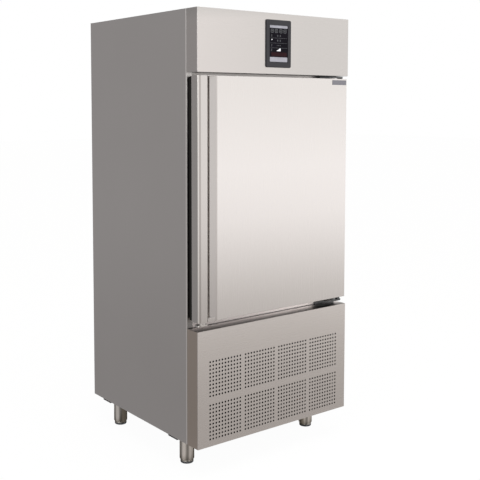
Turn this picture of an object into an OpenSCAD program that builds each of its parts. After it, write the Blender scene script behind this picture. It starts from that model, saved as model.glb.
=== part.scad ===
// Upright blast chiller: a foamed cold chamber with one full-width door, a perforated vent
// panel over the condensing unit, a header with a touch controller, and four levelling legs.
// +Z is up, the front faces -Y, and the origin is under the middle of the whole object.

/* [Cabinet] */
// Width of the cabinet
cabinet_w = 800; // [740:10:900]
// Depth from the front panels to the back panel
cabinet_d = 815; // [800:5:860]
// Height of the cabinet's top above the floor
cabinet_h = 1815; // [1815:5:1900]
// Height of the cabinet's underside above the floor
leg_h = 121; // [105:1:121]
// How far the door and the front panels stand in front of the cabinet body
front_d = 70; // [68:1:76]
// Thickness of the folded steel sheet
sheet_t = 1.2; // [0.8:0.1:1.5]

/* [Front layout] */
// Top of the perforated vent panel
vent_top = 583; // [575:1:585]
// Lower edge of the door
door_bottom = 616; // [614:1:620]
// Upper edge of the door
door_top = 1562; // [1556:1:1562]
// Lower edge of the header
header_bottom = 1574; // [1574:1:1578]
// Gap between the door's edge and the cabinet's side
door_side_gap = 3.5; // [2:0.5:5]
// How far the door sits behind the other front panels
door_setback = 2; // [0:0.5:3]

/* [Handle] */
// Width of the lip that the fingers pull on
lip_w = 47; // [40:1:55]
// Thickness of the hemmed lip
lip_t = 7; // [6:0.5:9]
// Depth of the finger pocket behind the door's front face
pocket_depth = 33; // [30:1:34]
// Radius of the door's front edge at the handle
handle_edge_r = 8; // [5:1:9]
// Distance from the door's edge to the end of the slope
slope_end = 88; // [82:1:96]

/* [Vent panel] */
// Diameter of a vent hole
hole_d = 8; // [5:0.5:8]
// Distance between neighbouring holes
hole_pitch = 15; // [12:1:16]
// Columns of holes in a block
block_columns = 11; // [6:1:11]
// Rows of holes in a block
block_rows = 10; // [6:1:10]
// Blocks side by side
blocks_across = 4; // [2:1:4]
// Gap between the last column of a block and the first of the next
block_gap_x = 27; // [20:1:30]
// Gap between the last row of a block and the first of the next
block_gap_z = 37; // [25:1:40]
// Height of the lowest row of holes
first_row_z = 150; // [145:1:160]

/* [Controller] */
// Width of the controller's frame
bezel_w = 133; // [120:1:140]
// Height of the controller's frame
bezel_h = 189; // [180:1:195]
// Corner radius of the controller's frame
bezel_r = 7; // [4:1:12]
// How far the frame stands out of the header
bezel_proud = 5; // [3:0.5:8]
// Width of the screen
screen_w = 102; // [90:1:110]
// Height of the screen
screen_h = 150; // [140:1:160]

/* [Chamber] */
// Clear width of the chamber
chamber_w = 660; // [640:10:660]
// Height of the chamber's floor
chamber_bottom = 645; // [645:1:650]
// Height of the chamber's ceiling
chamber_top = 1535; // [1525:1:1535]
// Depth of the chamber
chamber_d = 684; // [680:1:690]
// Number of trays that the racks take
tray_count = 10; // [5:1:12]
// Distance between one tray and the next
tray_pitch = 78; // [65:1:78]

/* [Fans] */
// Diameter of the evaporator fans
evaporator_fan_d = 296; // [240:1:300]
// Diameter of the condenser fan
condenser_fan_d = 300; // [250:1:304]
// Number of blades on a fan
fan_blades = 5; // [3:1:7]

/* [Legs] */
// Diameter of a leg's fixed tube
leg_d = 60; // [56:1:62]
// Diameter of the stem that screws out of a leg
adjuster_d = 40; // [34:1:42]
// Diameter of the foot at the stem's end
foot_d = 54; // [46:1:54]
// Distance from a leg's centre to the cabinet's side
leg_side_inset = 71; // [66:1:80]
// Distance from a front leg's centre to the front panels
leg_front_inset = 174; // [150:1:190]
// Distance from a rear leg's centre to the front panels
leg_rear_inset = 700; // [650:1:720]

/* [Hidden] */
$fn = 48;
hair = 0.3;
fit_gap = 0.05;

// How far the cable gland stands out of the back
gland_proud = 20;
overall_d = cabinet_d + bezel_proud + gland_proud;
front_y = -overall_d / 2 + bezel_proud;
back_y = overall_d / 2 - gland_proud;
body_y = front_y + front_d;
half_w = cabinet_w / 2;

// The foamed tank round the chamber
tank_bottom = 585;
tank_top = 1600;
liner_t = 1;
liner_r = 15;
chamber_half = chamber_w / 2;
chamber_back = body_y + chamber_d;
flange_w = 25;

// The frame round the chamber's mouth
frame_half = half_w - flange_w - 0.5;
frame_bottom = 545;
frame_top = 1625;

// The door, measured from its own left edge and its front face
door_left = -half_w + door_side_gap;
door_right = half_w - door_side_gap;
door_y = front_y + door_setback;
door_sheet = 1;
door_side_d = 41;
door_back = door_y + door_side_d;
profile_back = body_y - 11.5;
profile_inner = chamber_half - 6.5;
skin_start = door_left + slope_end + 4;
plug_half = chamber_half - 8;
plug_back = body_y + 7;
gasket_half = half_w - 26;
gasket_w = 20;
gasket_z = [622, 1558];

// The hinge's axis, near the door's right front corner
hinge_x = half_w - 22;
hinge_y = door_y + 25;
pin_r = 6;
bush_r = 10;
bracket_t = 5;
bracket_left = 277;
bracket_right = half_w - 6;
bracket_front = hinge_y - 10;
lower_bracket_z = 596;
upper_bracket_z = 1566.5;

// The controller
bezel_z = (header_bottom + cabinet_h) / 2;
window_w = bezel_w - 12;
window_h = bezel_h - 12;

// The tray racks
rack_y = [body_y + 22, body_y + 422];
rack_post_x = chamber_half - 8;
rack_post_r = 6;
runner_r = 3;
runner_x = chamber_half - 50;
first_tray_z = 690;

// The evaporator fans and what is round them
baffle_y = 95;
baffle_z = [680, 1500];
fan_centres_z = [885, 1295];
fan_ring_r = evaporator_fan_d / 2 + 7;
fan_hub_r = 42;
fan_depth = 38;
shaft_r = 4;
evaporator_fan_y = baffle_y + 47;
motor_y = baffle_y + 57;

// The condensing unit
floor_z = leg_h + sheet_t + 2;
condenser_x = [-330, 190];
condenser_y = [body_y + 20, body_y + 64];
condenser_z = [140, 500];
shroud_back = condenser_y[1] + 60;
condenser_fan_x = (condenser_x[0] + condenser_x[1]) / 2;
condenser_fan_z = (condenser_z[0] + condenser_z[1]) / 2;
compressor_x = -150;
compressor_y = 140;
compressor_r = 100;
receiver_x = 290;
receiver_y = -40;
receiver_r = 55;
receiver_z = [150, 440];
receiver_outlets = [-20, 25];
outlet_top = receiver_z[1] + 6;
copper_d = 12;
copper_bend = 22;

// Leg centres: left to right, front to rear
leg_x = half_w - leg_side_inset;
leg_front_y = front_y + leg_front_inset;
leg_rear_y = front_y + leg_rear_inset;
foot_plate_t = 5;

steel = [0.74, 0.73, 0.71];
side_steel = [0.56, 0.55, 0.54];
galvanised = [0.6, 0.62, 0.63];
black = [0.08, 0.08, 0.09];
dark_grey = [0.24, 0.25, 0.27];
copper = [0.72, 0.42, 0.27];
foam_yellow = [0.88, 0.82, 0.6];
fin_grey = [0.78, 0.79, 0.8];
board_green = [0.1, 0.32, 0.2];

// ---- Helpers ----

function unit(v) = v / norm(v);

// Signed angle of the turn from one flat direction to the next
function turn_of(a, b) = atan2(a.x * b.y - a.y * b.x, a * b);

// Turn at point i of a flat path
function path_turn(p, i) = turn_of(unit(p[i] - p[i - 1]), unit(p[i + 1] - p[i]));

// A block from its lowest corner to its highest
module block(low, high) {
    translate(low) cube(high - low);
}

// Stands a flat outline up, with its x along X and its y along Z
module extrude_y(y_low, y_high) {
    translate([0, y_high, 0]) rotate([90, 0, 0]) linear_extrude(y_high - y_low) children();
}

// Stands a flat outline up, with its x along Y and its y along Z
module extrude_x(x_low, x_high) {
    translate([x_low, 0, 0]) rotate([90, 0, 90]) linear_extrude(x_high - x_low) children();
}

// Lifts a flat outline from one height to another
module extrude_z(z_low, z_high) {
    translate([0, 0, z_low]) linear_extrude(z_high - z_low) children();
}

module rect(low, high) {
    translate(low) square(high - low);
}

// A rectangle with round corners, about its centre
module rounded_rect(w, h, r) {
    square([w - 2 * r, h], center = true);
    square([w, h - 2 * r], center = true);
    for (x = [-1, 1], y = [-1, 1]) translate([x * (w / 2 - r), y * (h / 2 - r)]) circle(r);
}

// A slot with round ends, along x
module slot(length, width) {
    square([length - width, width], center = true);
    for (x = [-1, 1]) translate([x * (length - width) / 2, 0]) circle(width / 2);
}

// Part of a flat ring
module arc_band(r_in, r_out, start, turn) {
    reach = 3 * r_out;
    corners = [for (k = [0 : 3]) reach * [cos(start + turn * k / 3), sin(start + turn * k / 3)]];
    intersection() {
        difference() {
            circle(r_out);
            circle(r_in);
        }
        polygon(concat([[0, 0]], corners));
    }
}

// The section of a folded sheet: it follows the points, with one bend radius at each corner,
// measured at the middle of the sheet
module folded_sheet(points, bends, t) {
    last = len(points) - 1;
    function setback(i) = i == 0 || i == last ? 0
        : bends[i - 1] * tan(abs(path_turn(points, i)) / 2);
    for (i = [0 : last - 1]) {
        way = unit(points[i + 1] - points[i]);
        length = norm(points[i + 1] - points[i]) - setback(i) - setback(i + 1);
        if (length > 0.01)
            translate(points[i] + way * setback(i)) rotate(atan2(way.y, way.x))
                translate([0, -t / 2]) square([length, t]);
    }
    for (i = [1 : last - 1]) {
        way = unit(points[i] - points[i - 1]);
        turn = path_turn(points, i);
        inward = sign(turn) * [-way.y, way.x];
        r = bends[i - 1];
        translate(points[i] - way * setback(i) + inward * r)
            arc_band(r - t / 2, r + t / 2, atan2(-inward.y, -inward.x), turn);
    }
}

// Places what follows with its z axis along a direction
module facing(place, way) {
    z = unit(way);
    x = unit(abs(z.z) > 0.9 ? cross([1, 0, 0], z) : cross([0, 0, 1], z));
    y = cross(z, x);
    multmatrix([
        [x.x, y.x, z.x, place.x],
        [x.y, y.y, z.y, place.y],
        [x.z, y.z, z.z, place.z],
        [0, 0, 0, 1]
    ]) children();
}

// A round tube along 3-D points, with a true arc at each corner
module tube_run(points, d, bend_r) {
    last = len(points) - 1;
    function way(i) = unit(points[i + 1] - points[i]);
    function setback(i) = i == 0 || i == last ? 0
        : bend_r * tan(acos(way(i - 1) * way(i)) / 2);
    for (i = [0 : last - 1]) {
        length = norm(points[i + 1] - points[i]) - setback(i) - setback(i + 1);
        if (length > 0.01)
            facing(points[i] + way(i) * setback(i), way(i)) cylinder(h = length, r = d / 2);
    }
    if (last > 1) for (i = [1 : last - 1]) {
        along = way(i - 1);
        turn = acos(along * way(i));
        inward = unit(way(i) - along * (along * way(i)));
        centre = points[i] - along * setback(i) + inward * bend_r;
        x = -inward;
        z = cross(x, along);
        multmatrix([
            [x.x, along.x, z.x, centre.x],
            [x.y, along.y, z.y, centre.y],
            [x.z, along.z, z.z, centre.z],
            [0, 0, 0, 1]
        ]) rotate_extrude(angle = turn) translate([bend_r, 0]) circle(d / 2);
    }
}

module left_and_right() {
    children();
    mirror([1, 0, 0]) children();
}

// ---- Cabinet ----

// A full-height side: one sheet folded in at the front, the back and the bottom
module side_panel() {
    x = -half_w + sheet_t / 2;
    fold_r = 2.4;
    rear_flange = 20;
    floor_flange = 30;
    section = [
        [-half_w + flange_w, body_y + sheet_t / 2],
        [x, body_y + sheet_t / 2],
        [x, back_y - sheet_t / 2],
        [-half_w + rear_flange, back_y - sheet_t / 2]
    ];
    extrude_z(leg_h, cabinet_h - sheet_t) folded_sheet(section, [fold_r, fold_r], sheet_t);
    block([-half_w + sheet_t / 2, body_y + 4, leg_h],
          [-half_w + floor_flange, back_y - 4, leg_h + sheet_t]);
}

module left_side_panel() {
    color(side_steel) side_panel();
}

module right_side_panel() {
    color(side_steel) mirror([1, 0, 0]) side_panel();
}

// The roof sheet, with its edges turned down inside the sides
module top_panel() {
    turn_down = 18;
    edge = sheet_t + hair;
    color(side_steel) {
        block([-half_w, body_y, cabinet_h - sheet_t], [half_w, back_y, cabinet_h]);
        left_and_right()
            block([-half_w + edge, body_y + 6, cabinet_h - turn_down],
                  [-half_w + edge + sheet_t, back_y - 6, cabinet_h - sheet_t / 2]);
    }
}

// The back of the tank and of the space over it
module back_panel() {
    edge = 20.5;
    gland_hole_r = 10.2;
    color(galvanised) difference() {
        block([-half_w + edge, back_y - sheet_t, tank_bottom - 25],
              [half_w - edge, back_y, cabinet_h - sheet_t - hair]);
        facing([gland_x, back_y, gland_z], [0, 1, 0])
            cylinder(h = 10, r = gland_hole_r, center = true);
    }
}

// The rounded outline of the chamber, grown by some amount
module chamber_outline(grow) {
    translate([0, (chamber_bottom + chamber_top) / 2])
        rounded_rect(chamber_w + 2 * grow, chamber_top - chamber_bottom + 2 * grow,
                     liner_r + grow);
}

drain_x = 0;
drain_y = -120;
drain_r = 14;
line_x = 300;
line_y = 280;
line_hole_r = 34;

// Rigid foam round the chamber, cast between the liner and the outer sheets
module tank_foam() {
    side = half_w - sheet_t;
    color(foam_yellow) difference() {
        block([-side, body_y + 3, tank_bottom], [side, back_y - 3, tank_top]);
        extrude_y(body_y - 1, chamber_back + liner_t) chamber_outline(liner_t);
        translate([drain_x, drain_y, tank_bottom - 1]) cylinder(h = 80, r = drain_r + hair);
        translate([line_x, line_y, tank_bottom - 1]) cylinder(h = 80, r = line_hole_r);
    }
}

// The seamless inner shell with coved corners
module chamber_liner() {
    color(steel) difference() {
        extrude_y(body_y + 3, chamber_back + liner_t) chamber_outline(liner_t);
        extrude_y(body_y - 1, chamber_back) chamber_outline(0);
        translate([drain_x, drain_y, chamber_bottom - 5]) cylinder(h = 10, r = drain_r + hair);
        translate([line_x, line_y, chamber_bottom - 5]) cylinder(h = 10, r = line_hole_r);
    }
}

// The flat frame that the gasket closes on, with a short lip into the mouth
module front_frame() {
    lip_d = 16;
    lip = 1;
    mouth_w = chamber_w - 2 * hair;
    mouth_h = chamber_top - chamber_bottom - 2 * hair;
    middle_z = (chamber_bottom + chamber_top) / 2;
    color(steel) {
        extrude_y(body_y, body_y + sheet_t) difference() {
            rect([-frame_half, frame_bottom], [frame_half, frame_top]);
            translate([0, middle_z]) rounded_rect(mouth_w - 2 * lip, mouth_h - 2 * lip, liner_r);
        }
        extrude_y(body_y + sheet_t / 2, body_y + lip_d) translate([0, middle_z]) difference() {
            rounded_rect(mouth_w, mouth_h, liner_r);
            rounded_rect(mouth_w - 2 * lip, mouth_h - 2 * lip, liner_r);
        }
    }
}

// The floor of the machine space: a tray with turned-up edges and air slots
module base_pan() {
    pan_t = 2;
    rim_h = 40;
    half = half_w - sheet_t - 0.4;
    y_range = [body_y + 6, back_y - 6];
    slot_rows = 6;
    slot_pitch = 30;
    bottom = leg_h + sheet_t;
    color(galvanised) difference() {
        block([-half, y_range[0], bottom], [half, y_range[1], bottom + rim_h]);
        block([-half + pan_t, y_range[0] + pan_t, bottom + pan_t],
              [half - pan_t, y_range[1] - pan_t, bottom + rim_h + 1]);
        for (i = [0 : slot_rows - 1], x = [-130, 0, 130])
            translate([x, -120 + i * slot_pitch, bottom - 1])
                linear_extrude(pan_t + 2) slot(90, 10);
    }
}

module at_each_leg() {
    for (x = [-leg_x, leg_x], y = [leg_front_y, leg_rear_y]) translate([x, y, 0]) children();
}

// Stiffening plates that spread the legs' load under the base, out to the cabinet's sides
module foot_plates() {
    plate_w = 132;
    plate_d = 64;
    color(dark_grey)
        for (x = [-half_w + plate_w / 2, half_w - plate_w / 2], y = [leg_front_y, leg_rear_y])
            translate([x, y, 0])
                extrude_z(leg_h - foot_plate_t, leg_h) rounded_rect(plate_w, plate_d, 2);
}

// The fixed outer tubes, each with a guide ring for its adjuster
module leg_tubes() {
    top = leg_h - foot_plate_t;
    tube_bottom = 17;
    wall = 1.5;
    guide_h = 18;
    bore_r = adjuster_d / 2 + 0.4;
    color(steel) at_each_leg() {
        difference() {
            extrude_z(tube_bottom, top) circle(leg_d / 2);
            extrude_z(tube_bottom - 1, top - 4) circle(leg_d / 2 - wall);
        }
        extrude_z(tube_bottom + 2, tube_bottom + 2 + guide_h) difference() {
            circle(leg_d / 2 - wall / 2);
            circle(bore_r);
        }
    }
}

// An adjuster: a turned stem on a wide foot, with a soft pad let into its underside
module adjuster(x, y) {
    r = adjuster_d / 2;
    foot_r = foot_d / 2;
    profile = [
        [0, 0], [foot_r - 2.5, 0], [foot_r - 1, 1.5], [foot_r - 1, 5], [foot_r, 6],
        [foot_r, 15], [foot_r - 1, 16], [r, 16], [r, 92], [r - 3, 95], [0, 95]
    ];
    color(steel) translate([x, y, 0]) rotate_extrude() polygon(profile);
}

module adjuster_front_left() {
    adjuster(-leg_x, leg_front_y);
}

module adjuster_front_right() {
    adjuster(leg_x, leg_front_y);
}

module adjuster_rear_left() {
    adjuster(-leg_x, leg_rear_y);
}

module adjuster_rear_right() {
    adjuster(leg_x, leg_rear_y);
}

// ---- Header and controls ----

// The plan of a front panel: a flat face folded back at both sides
module front_fold(depth) {
    x = half_w - sheet_t / 2;
    y = front_y + sheet_t / 2;
    fold_r = 2;
    folded_sheet([[-x, front_y + depth], [-x, y], [x, y], [x, front_y + depth]],
                 [fold_r, fold_r], sheet_t);
}

// The plan inside that fold, for the sheets that close its top and bottom
module front_fold_inside(depth) {
    edge = sheet_t / 2;
    rect([-half_w + edge, front_y + edge], [half_w - edge, front_y + depth]);
}

module header_panel() {
    bottom_d = front_d - 8;
    color(steel) difference() {
        union() {
            extrude_z(header_bottom, cabinet_h) front_fold(front_d);
            extrude_z(header_bottom, header_bottom + sheet_t) intersection() {
                front_fold_inside(bottom_d);
                translate([0, front_y + front_d]) rounded_rect(cabinet_w, 2 * front_d, 2.6);
            }
            extrude_z(cabinet_h - sheet_t, cabinet_h) intersection() {
                front_fold_inside(front_d);
                translate([0, front_y + front_d]) rounded_rect(cabinet_w, 2 * front_d, 2.6);
            }
        }
        extrude_y(front_y - 1, front_y + 4) translate([0, bezel_z])
            square([window_w, window_h], center = true);
    }
}

// The controller's moulded frame: a rounded rim, a screen opening and a skirt in the window
module controller_bezel() {
    rim = 2;
    skirt = 0.4;
    lip = 2;
    recess = 1.5;
    color(dark_grey) translate([0, 0, bezel_z]) difference() {
        union() {
            extrude_y(front_y - bezel_proud + rim, front_y) rounded_rect(bezel_w, bezel_h, bezel_r);
            extrude_y(front_y - bezel_proud, front_y - bezel_proud + rim)
                rounded_rect(bezel_w - 2 * rim, bezel_h - 2 * rim, bezel_r - rim);
            extrude_y(front_y, front_y + 14)
                square([window_w - 2 * skirt, window_h - 2 * skirt], center = true);
        }
        extrude_y(front_y - bezel_proud - 1, front_y + 20)
            square([screen_w - 2 * lip, screen_h - 2 * lip], center = true);
        extrude_y(front_y - bezel_proud + recess, front_y + 20)
            square([screen_w, screen_h], center = true);
    }
}

module controller_glass() {
    glass_t = 3;
    play = 0.2;
    y = front_y - bezel_proud + 1.5;
    color(black) extrude_y(y, y + glass_t) translate([0, bezel_z])
        square([screen_w - 2 * play, screen_h - 2 * play], center = true);
}

// A green board with a row of relays and a terminal strip
module populated_board(w, d, relays) {
    board_t = 1.6;
    relay = [18, 28, 16];
    color(board_green) translate([-w / 2, -d / 2, 0]) cube([w, d, board_t]);
    color(dark_grey) for (i = [0 : relays - 1])
        translate([(i - (relays - 1) / 2) * (relay.x + 6) - relay.x / 2, -d / 2 + 8, 0])
            cube(relay + [0, 0, board_t]);
    color(dark_grey) translate([-w / 2 + 10, d / 2 - 16, 0]) cube([w - 20, 12, 12]);
}

board_x = 190;
board_y = -90;

// The display board behind the glass, and the power board in the control box
module circuit_boards() {
    translate([0, front_y + 20, bezel_z]) rotate([90, 0, 0]) mirror([0, 0, 1])
        populated_board(96, 140, 3);
    translate([board_x, board_y, tank_top + 12]) populated_board(220, 150, 7);
}

// An open steel tray on the tank's roof, with stand-offs for the power board
module control_box() {
    size = [260, 190, 60];
    wall = 1.2;
    low = [board_x - size.x / 2, board_y - size.y / 2, tank_top];
    color(galvanised) {
        difference() {
            translate(low) cube(size);
            translate(low + [wall, wall, wall]) cube(size);
            facing([board_x, board_y + size.y / 2, tank_top + 35], [0, 1, 0])
                cylinder(h = 10, r = 14, center = true);
        }
        for (x = [-1, 1], y = [-1, 1])
            translate([board_x + x * 100, board_y + y * 65, tank_top + wall / 2])
                cylinder(h = 12 - wall / 2, r = 4);
    }
}

switch_x = -240;

// The sealed reed switch that senses the closed door
module door_switch() {
    size = [46, 14, 12];
    color(black) translate([switch_x, hinge_y, header_bottom + sheet_t])
        extrude_z(0, size.z) difference() {
            rounded_rect(size.x, size.y, 3);
            for (x = [-1, 1]) translate([x * 17, 0]) circle(1.8);
        }
}

gland_x = 300;
gland_z = 1700;

// The strain-relief gland for the supply cable, with a hexagon nut on each side
module cable_gland() {
    bore_r = 6.5;
    inside = 22;
    color(black) facing([gland_x, back_y, gland_z], [0, 1, 0]) difference() {
        union() {
            translate([0, 0, -inside]) cylinder(h = inside + gland_proud - 6, r = 10);
            cylinder(h = 9, r = 14, $fn = 6);
            translate([0, 0, 9]) cylinder(h = gland_proud - 9, r1 = 12, r2 = 9);
            translate([0, 0, -sheet_t - 5]) cylinder(h = 5, r = 14, $fn = 6);
        }
        translate([0, 0, -inside - 1]) cylinder(h = inside + gland_proud + 2, r = bore_r);
    }
}

// ---- Hinges and screws ----

screw_r = 3;
bracket_screw_x = [300, 345];

// A bracket's plate seen from above: wide at the cabinet, narrower towards the pin
module bracket_plan() {
    corner = 8;
    polygon([
        [bracket_left, body_y], [bracket_left, body_y - 24], [bracket_left + 32, bracket_front],
        [bracket_right - corner, bracket_front], [bracket_right, bracket_front + corner],
        [bracket_right, body_y]
    ]);
}

// The upright leg that is screwed to the cabinet's front
module bracket_leg(z_low, z_high, screw_z) {
    extrude_y(body_y - bracket_t, body_y) difference() {
        rect([bracket_left, z_low], [bracket_right, z_high]);
        for (x = bracket_screw_x) translate([x, screw_z]) circle(screw_r + 0.1);
    }
}

module bottom_hinge_bracket() {
    pin_top = 650;
    shoulder_top = door_bottom - 5;
    color(galvanised) {
        extrude_z(lower_bracket_z, lower_bracket_z + 6) bracket_plan();
        bracket_leg(lower_bracket_z - 38, lower_bracket_z + 1, lower_bracket_z - 20);
        translate([hinge_x, hinge_y, lower_bracket_z + 1]) {
            cylinder(h = shoulder_top - lower_bracket_z - 1, r = pin_r + 3);
            cylinder(h = pin_top - lower_bracket_z - 1, r = pin_r);
        }
    }
}

module top_hinge_bracket() {
    pin_bottom = 1530;
    top = upper_bracket_z + bracket_t;
    color(galvanised) {
        extrude_z(upper_bracket_z, top) bracket_plan();
        bracket_leg(top - 1, top + 38, top + 20);
        translate([hinge_x, hinge_y, pin_bottom])
            cylinder(h = upper_bracket_z + 1 - pin_bottom, r = pin_r);
    }
}

// A pan-head screw standing on its own seat, with a cross recess
module screw(shank) {
    head_h = 2.6;
    color(galvanised) difference() {
        union() {
            cylinder(h = head_h, r = screw_r + 2.2);
            translate([0, 0, -shank]) cylinder(h = shank + 1, r = screw_r);
        }
        for (turn = [0, 90]) rotate(turn)
            translate([0, 0, head_h]) cube([5, 1, 2], center = true);
    }
}

grille_screw_x = 366;
grille_screw_z = [160, 530];

// Screws of the hinge brackets and the rear grille
module panel_screws() {
    for (x = bracket_screw_x, z = [lower_bracket_z - 20, upper_bracket_z + bracket_t + 20])
        facing([x, body_y - bracket_t, z], [0, -1, 0]) screw(bracket_t - 0.5);
    for (x = [-grille_screw_x, grille_screw_x], z = grille_screw_z)
        facing([x, back_y, z], [0, 1, 0]) screw(sheet_t - 0.2);
}

// ---- Vent panel and rear grille ----

block_w = (block_columns - 1) * hole_pitch;
block_h = (block_rows - 1) * hole_pitch;

// One block of vent holes, from its lower left hole
module vent_block() {
    for (c = [0 : block_columns - 1], r = [0 : block_rows - 1])
        translate([c * hole_pitch, r * hole_pitch]) circle(d = hole_d, $fn = 24);
}

// All the blocks, centred across the panel in two tiers
module vent_holes() {
    total_w = blocks_across * block_w + (blocks_across - 1) * block_gap_x;
    for (b = [0 : blocks_across - 1], tier = [0, 1])
        translate([-total_w / 2 + b * (block_w + block_gap_x),
                   first_row_z + tier * (block_h + block_gap_z)])
            vent_block();
}

// The perforated face, rounded back at its two upright edges
module vent_panel() {
    fold_r = 2;
    outer_r = fold_r + sheet_t / 2;
    color(steel) {
        extrude_y(front_y, front_y + sheet_t) difference() {
            rect([-half_w + outer_r, leg_h], [half_w - outer_r, vent_top]);
            vent_holes();
        }
        left_and_right() extrude_z(leg_h, vent_top)
            translate([half_w - outer_r, front_y + outer_r])
                arc_band(fold_r - sheet_t / 2, outer_r, 0, -90);
    }
}

// The cheeks and returns that carry the perforated face
module vent_panel_frame() {
    start = front_y + 2 + sheet_t / 2;
    top_d = front_d - 8;
    color(steel) difference() {
        block([-half_w, start, leg_h], [half_w, body_y, vent_top]);
        block([-half_w + sheet_t, start - 1, leg_h + sheet_t],
              [half_w - sheet_t, body_y + 1, vent_top - sheet_t]);
        block([-half_w + sheet_t, front_y + top_d, leg_h + sheet_t],
              [half_w - sheet_t, body_y + 1, vent_top + 1]);
    }
}

// The cover of the machine space at the back, with rows of air slots
module rear_grille() {
    edge = 20.5;
    slot_l = 120;
    slot_w = 8;
    rows = 14;
    columns = 4;
    row_pitch = 22;
    column_pitch = 145;
    turn_in = 12;
    bottom = leg_h + 4;
    top = tank_bottom - 29;
    color(galvanised) {
        extrude_y(back_y - sheet_t, back_y) difference() {
            rect([-half_w + edge, bottom], [half_w - edge, top]);
            for (i = [0 : rows - 1], j = [0 : columns - 1])
                translate([(j - (columns - 1) / 2) * column_pitch, 195 + i * row_pitch])
                    slot(slot_l, slot_w);
            for (x = [-grille_screw_x, grille_screw_x], z = grille_screw_z)
                translate([x, z]) circle(screw_r + 0.1);
        }
        for (z = [bottom + 50, top - sheet_t])
            block([-half_w + edge + 20, back_y - turn_in, z],
                  [half_w - edge - 20, back_y - sheet_t / 2, z + sheet_t]);
    }
}

// ---- Condensing unit ----

// The welded hermetic shell: a straight wall, two domes and a seam
module compressor() {
    wall_z = [205, 330];
    dome_r = 150;
    dome_h = 42;
    base_z = 150;
    stub_r = copper_d / 2 + 2;
    color(black) translate([compressor_x, compressor_y, 0]) {
        rotate_extrude() {
            rect([0, wall_z[0]], [compressor_r, wall_z[1]]);
            rect([compressor_r - 1, 262], [compressor_r + 4, 268]);
            intersection() {
                translate([0, wall_z[1] + dome_h - dome_r]) circle(dome_r);
                rect([0, wall_z[1] - 1], [compressor_r, wall_z[1] + dome_h]);
            }
            intersection() {
                translate([0, wall_z[0] - dome_h + dome_r]) circle(dome_r);
                rect([0, wall_z[0] - dome_h], [compressor_r, wall_z[0] + 1]);
            }
        }
        extrude_z(base_z, base_z + 4) difference() {
            rounded_rect(230, 180, 12);
            for (x = [-1, 1], y = [-1, 1]) translate([x * 98, y * 72]) circle(8);
        }
        for (x = [-1, 1], y = [-1, 1])
            block([x * 52 - 3, y * 42 - 10, base_z + 2], [x * 52 + 3, y * 42 + 10, 215]);
        translate([60, 0, 330]) cylinder(h = 45, r = stub_r);
        translate([-60, 30, 320]) cylinder(h = 55, r = stub_r + 2);
    }
}

// Four rubber mounts, each waisted where the compressor's foot sits
module compressor_grommets() {
    foot_z = 150;
    outline = [
        [4, floor_z], [14, floor_z], [14, foot_z - 3], [11, foot_z], [7.7, foot_z],
        [7.7, foot_z + 4], [11, foot_z + 4], [11, foot_z + 9], [4, foot_z + 9]
    ];
    color(black) for (x = [-1, 1], y = [-1, 1])
        translate([compressor_x + x * 98, compressor_y + y * 72, 0])
            rotate_extrude() polygon(outline);
}

// The snap-on cover over the compressor's terminals
module terminal_cover() {
    color(dark_grey) difference() {
        block([compressor_x - 145, compressor_y - 38, 225],
              [compressor_x - 80, compressor_y + 38, 300]);
        translate([compressor_x, compressor_y, 200]) cylinder(h = 120, r = compressor_r + 4 + hair);
    }
}

// A finned coil: thin fins on copper tubes that run along x, joined by return bends
module finned_coil(size, fins, rows, tubes, tube_d) {
    fin_t = 0.6;
    plate_t = 2;
    row_pitch = size.y / rows;
    tube_pitch = size.z / tubes;
    function tube_y(r) = -size.y / 2 + (r + 0.5) * row_pitch;
    function tube_z(i) = -size.z / 2 + (i + 0.5) * tube_pitch;
    for (i = [0 : fins - 1])
        translate([-size.x / 2 + (i + 0.5) * size.x / fins, 0, 0])
            cube([fin_t, size.y, size.z], center = true);
    for (x = [-1, 1]) translate([x * (size.x - plate_t) / 2, 0, 0])
        cube([plate_t, size.y, size.z], center = true);
    for (r = [0 : rows - 1], i = [0 : tubes - 1])
        translate([-size.x / 2 - 3, tube_y(r), tube_z(i)]) rotate([0, 90, 0])
            cylinder(h = size.x + 6, r = tube_d / 2);
    for (r = [0 : rows - 1], i = [0 : tubes - 2])
        let (side = i % 2 == 0 ? 1 : -1)
            translate([side * (size.x / 2 + 3), tube_y(r), (tube_z(i) + tube_z(i + 1)) / 2])
                rotate([90, 0, 0]) rotate(side > 0 ? -90 : 90)
                    rotate_extrude(angle = 180) translate([tube_pitch / 2, 0]) circle(tube_d / 2);
}

condenser_size = [condenser_x[1] - condenser_x[0], condenser_y[1] - condenser_y[0],
                  condenser_z[1] - condenser_z[0]];
condenser_tubes = 10;

module condenser_coil() {
    color(fin_grey)
        translate([condenser_fan_x, (condenser_y[0] + condenser_y[1]) / 2, condenser_fan_z])
            finned_coil(condenser_size, 44, 1, condenser_tubes, copper_d);
}

// The hood that leads the air from the coil to the fan, with a rolled ring
module condenser_shroud() {
    wall = 1.2;
    ring_r = condenser_fan_d / 2 + 6;
    ring_d = 34;
    front = condenser_y[1] + hair;
    color(galvanised) {
        difference() {
            block([condenser_x[0], front, condenser_z[0]],
                  [condenser_x[1], shroud_back, condenser_z[1]]);
            block([condenser_x[0] + wall, front - 1, condenser_z[0] + wall],
                  [condenser_x[1] - wall, shroud_back - wall, condenser_z[1] - wall]);
            facing([condenser_fan_x, shroud_back, condenser_fan_z], [0, 1, 0])
                cylinder(h = 10, r = ring_r, center = true);
        }
        extrude_y(shroud_back - ring_d, shroud_back)
            translate([condenser_fan_x, condenser_fan_z]) difference() {
                circle(ring_r + wall);
                circle(ring_r);
            }
        left_leg_x = condenser_x[0] + 30;
        for (x = [left_leg_x, condenser_x[1] - 30])
            block([x - 20, front + 20, floor_z], [x + 20, front + 22, condenser_z[0] + wall / 2]);
    }
}

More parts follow.
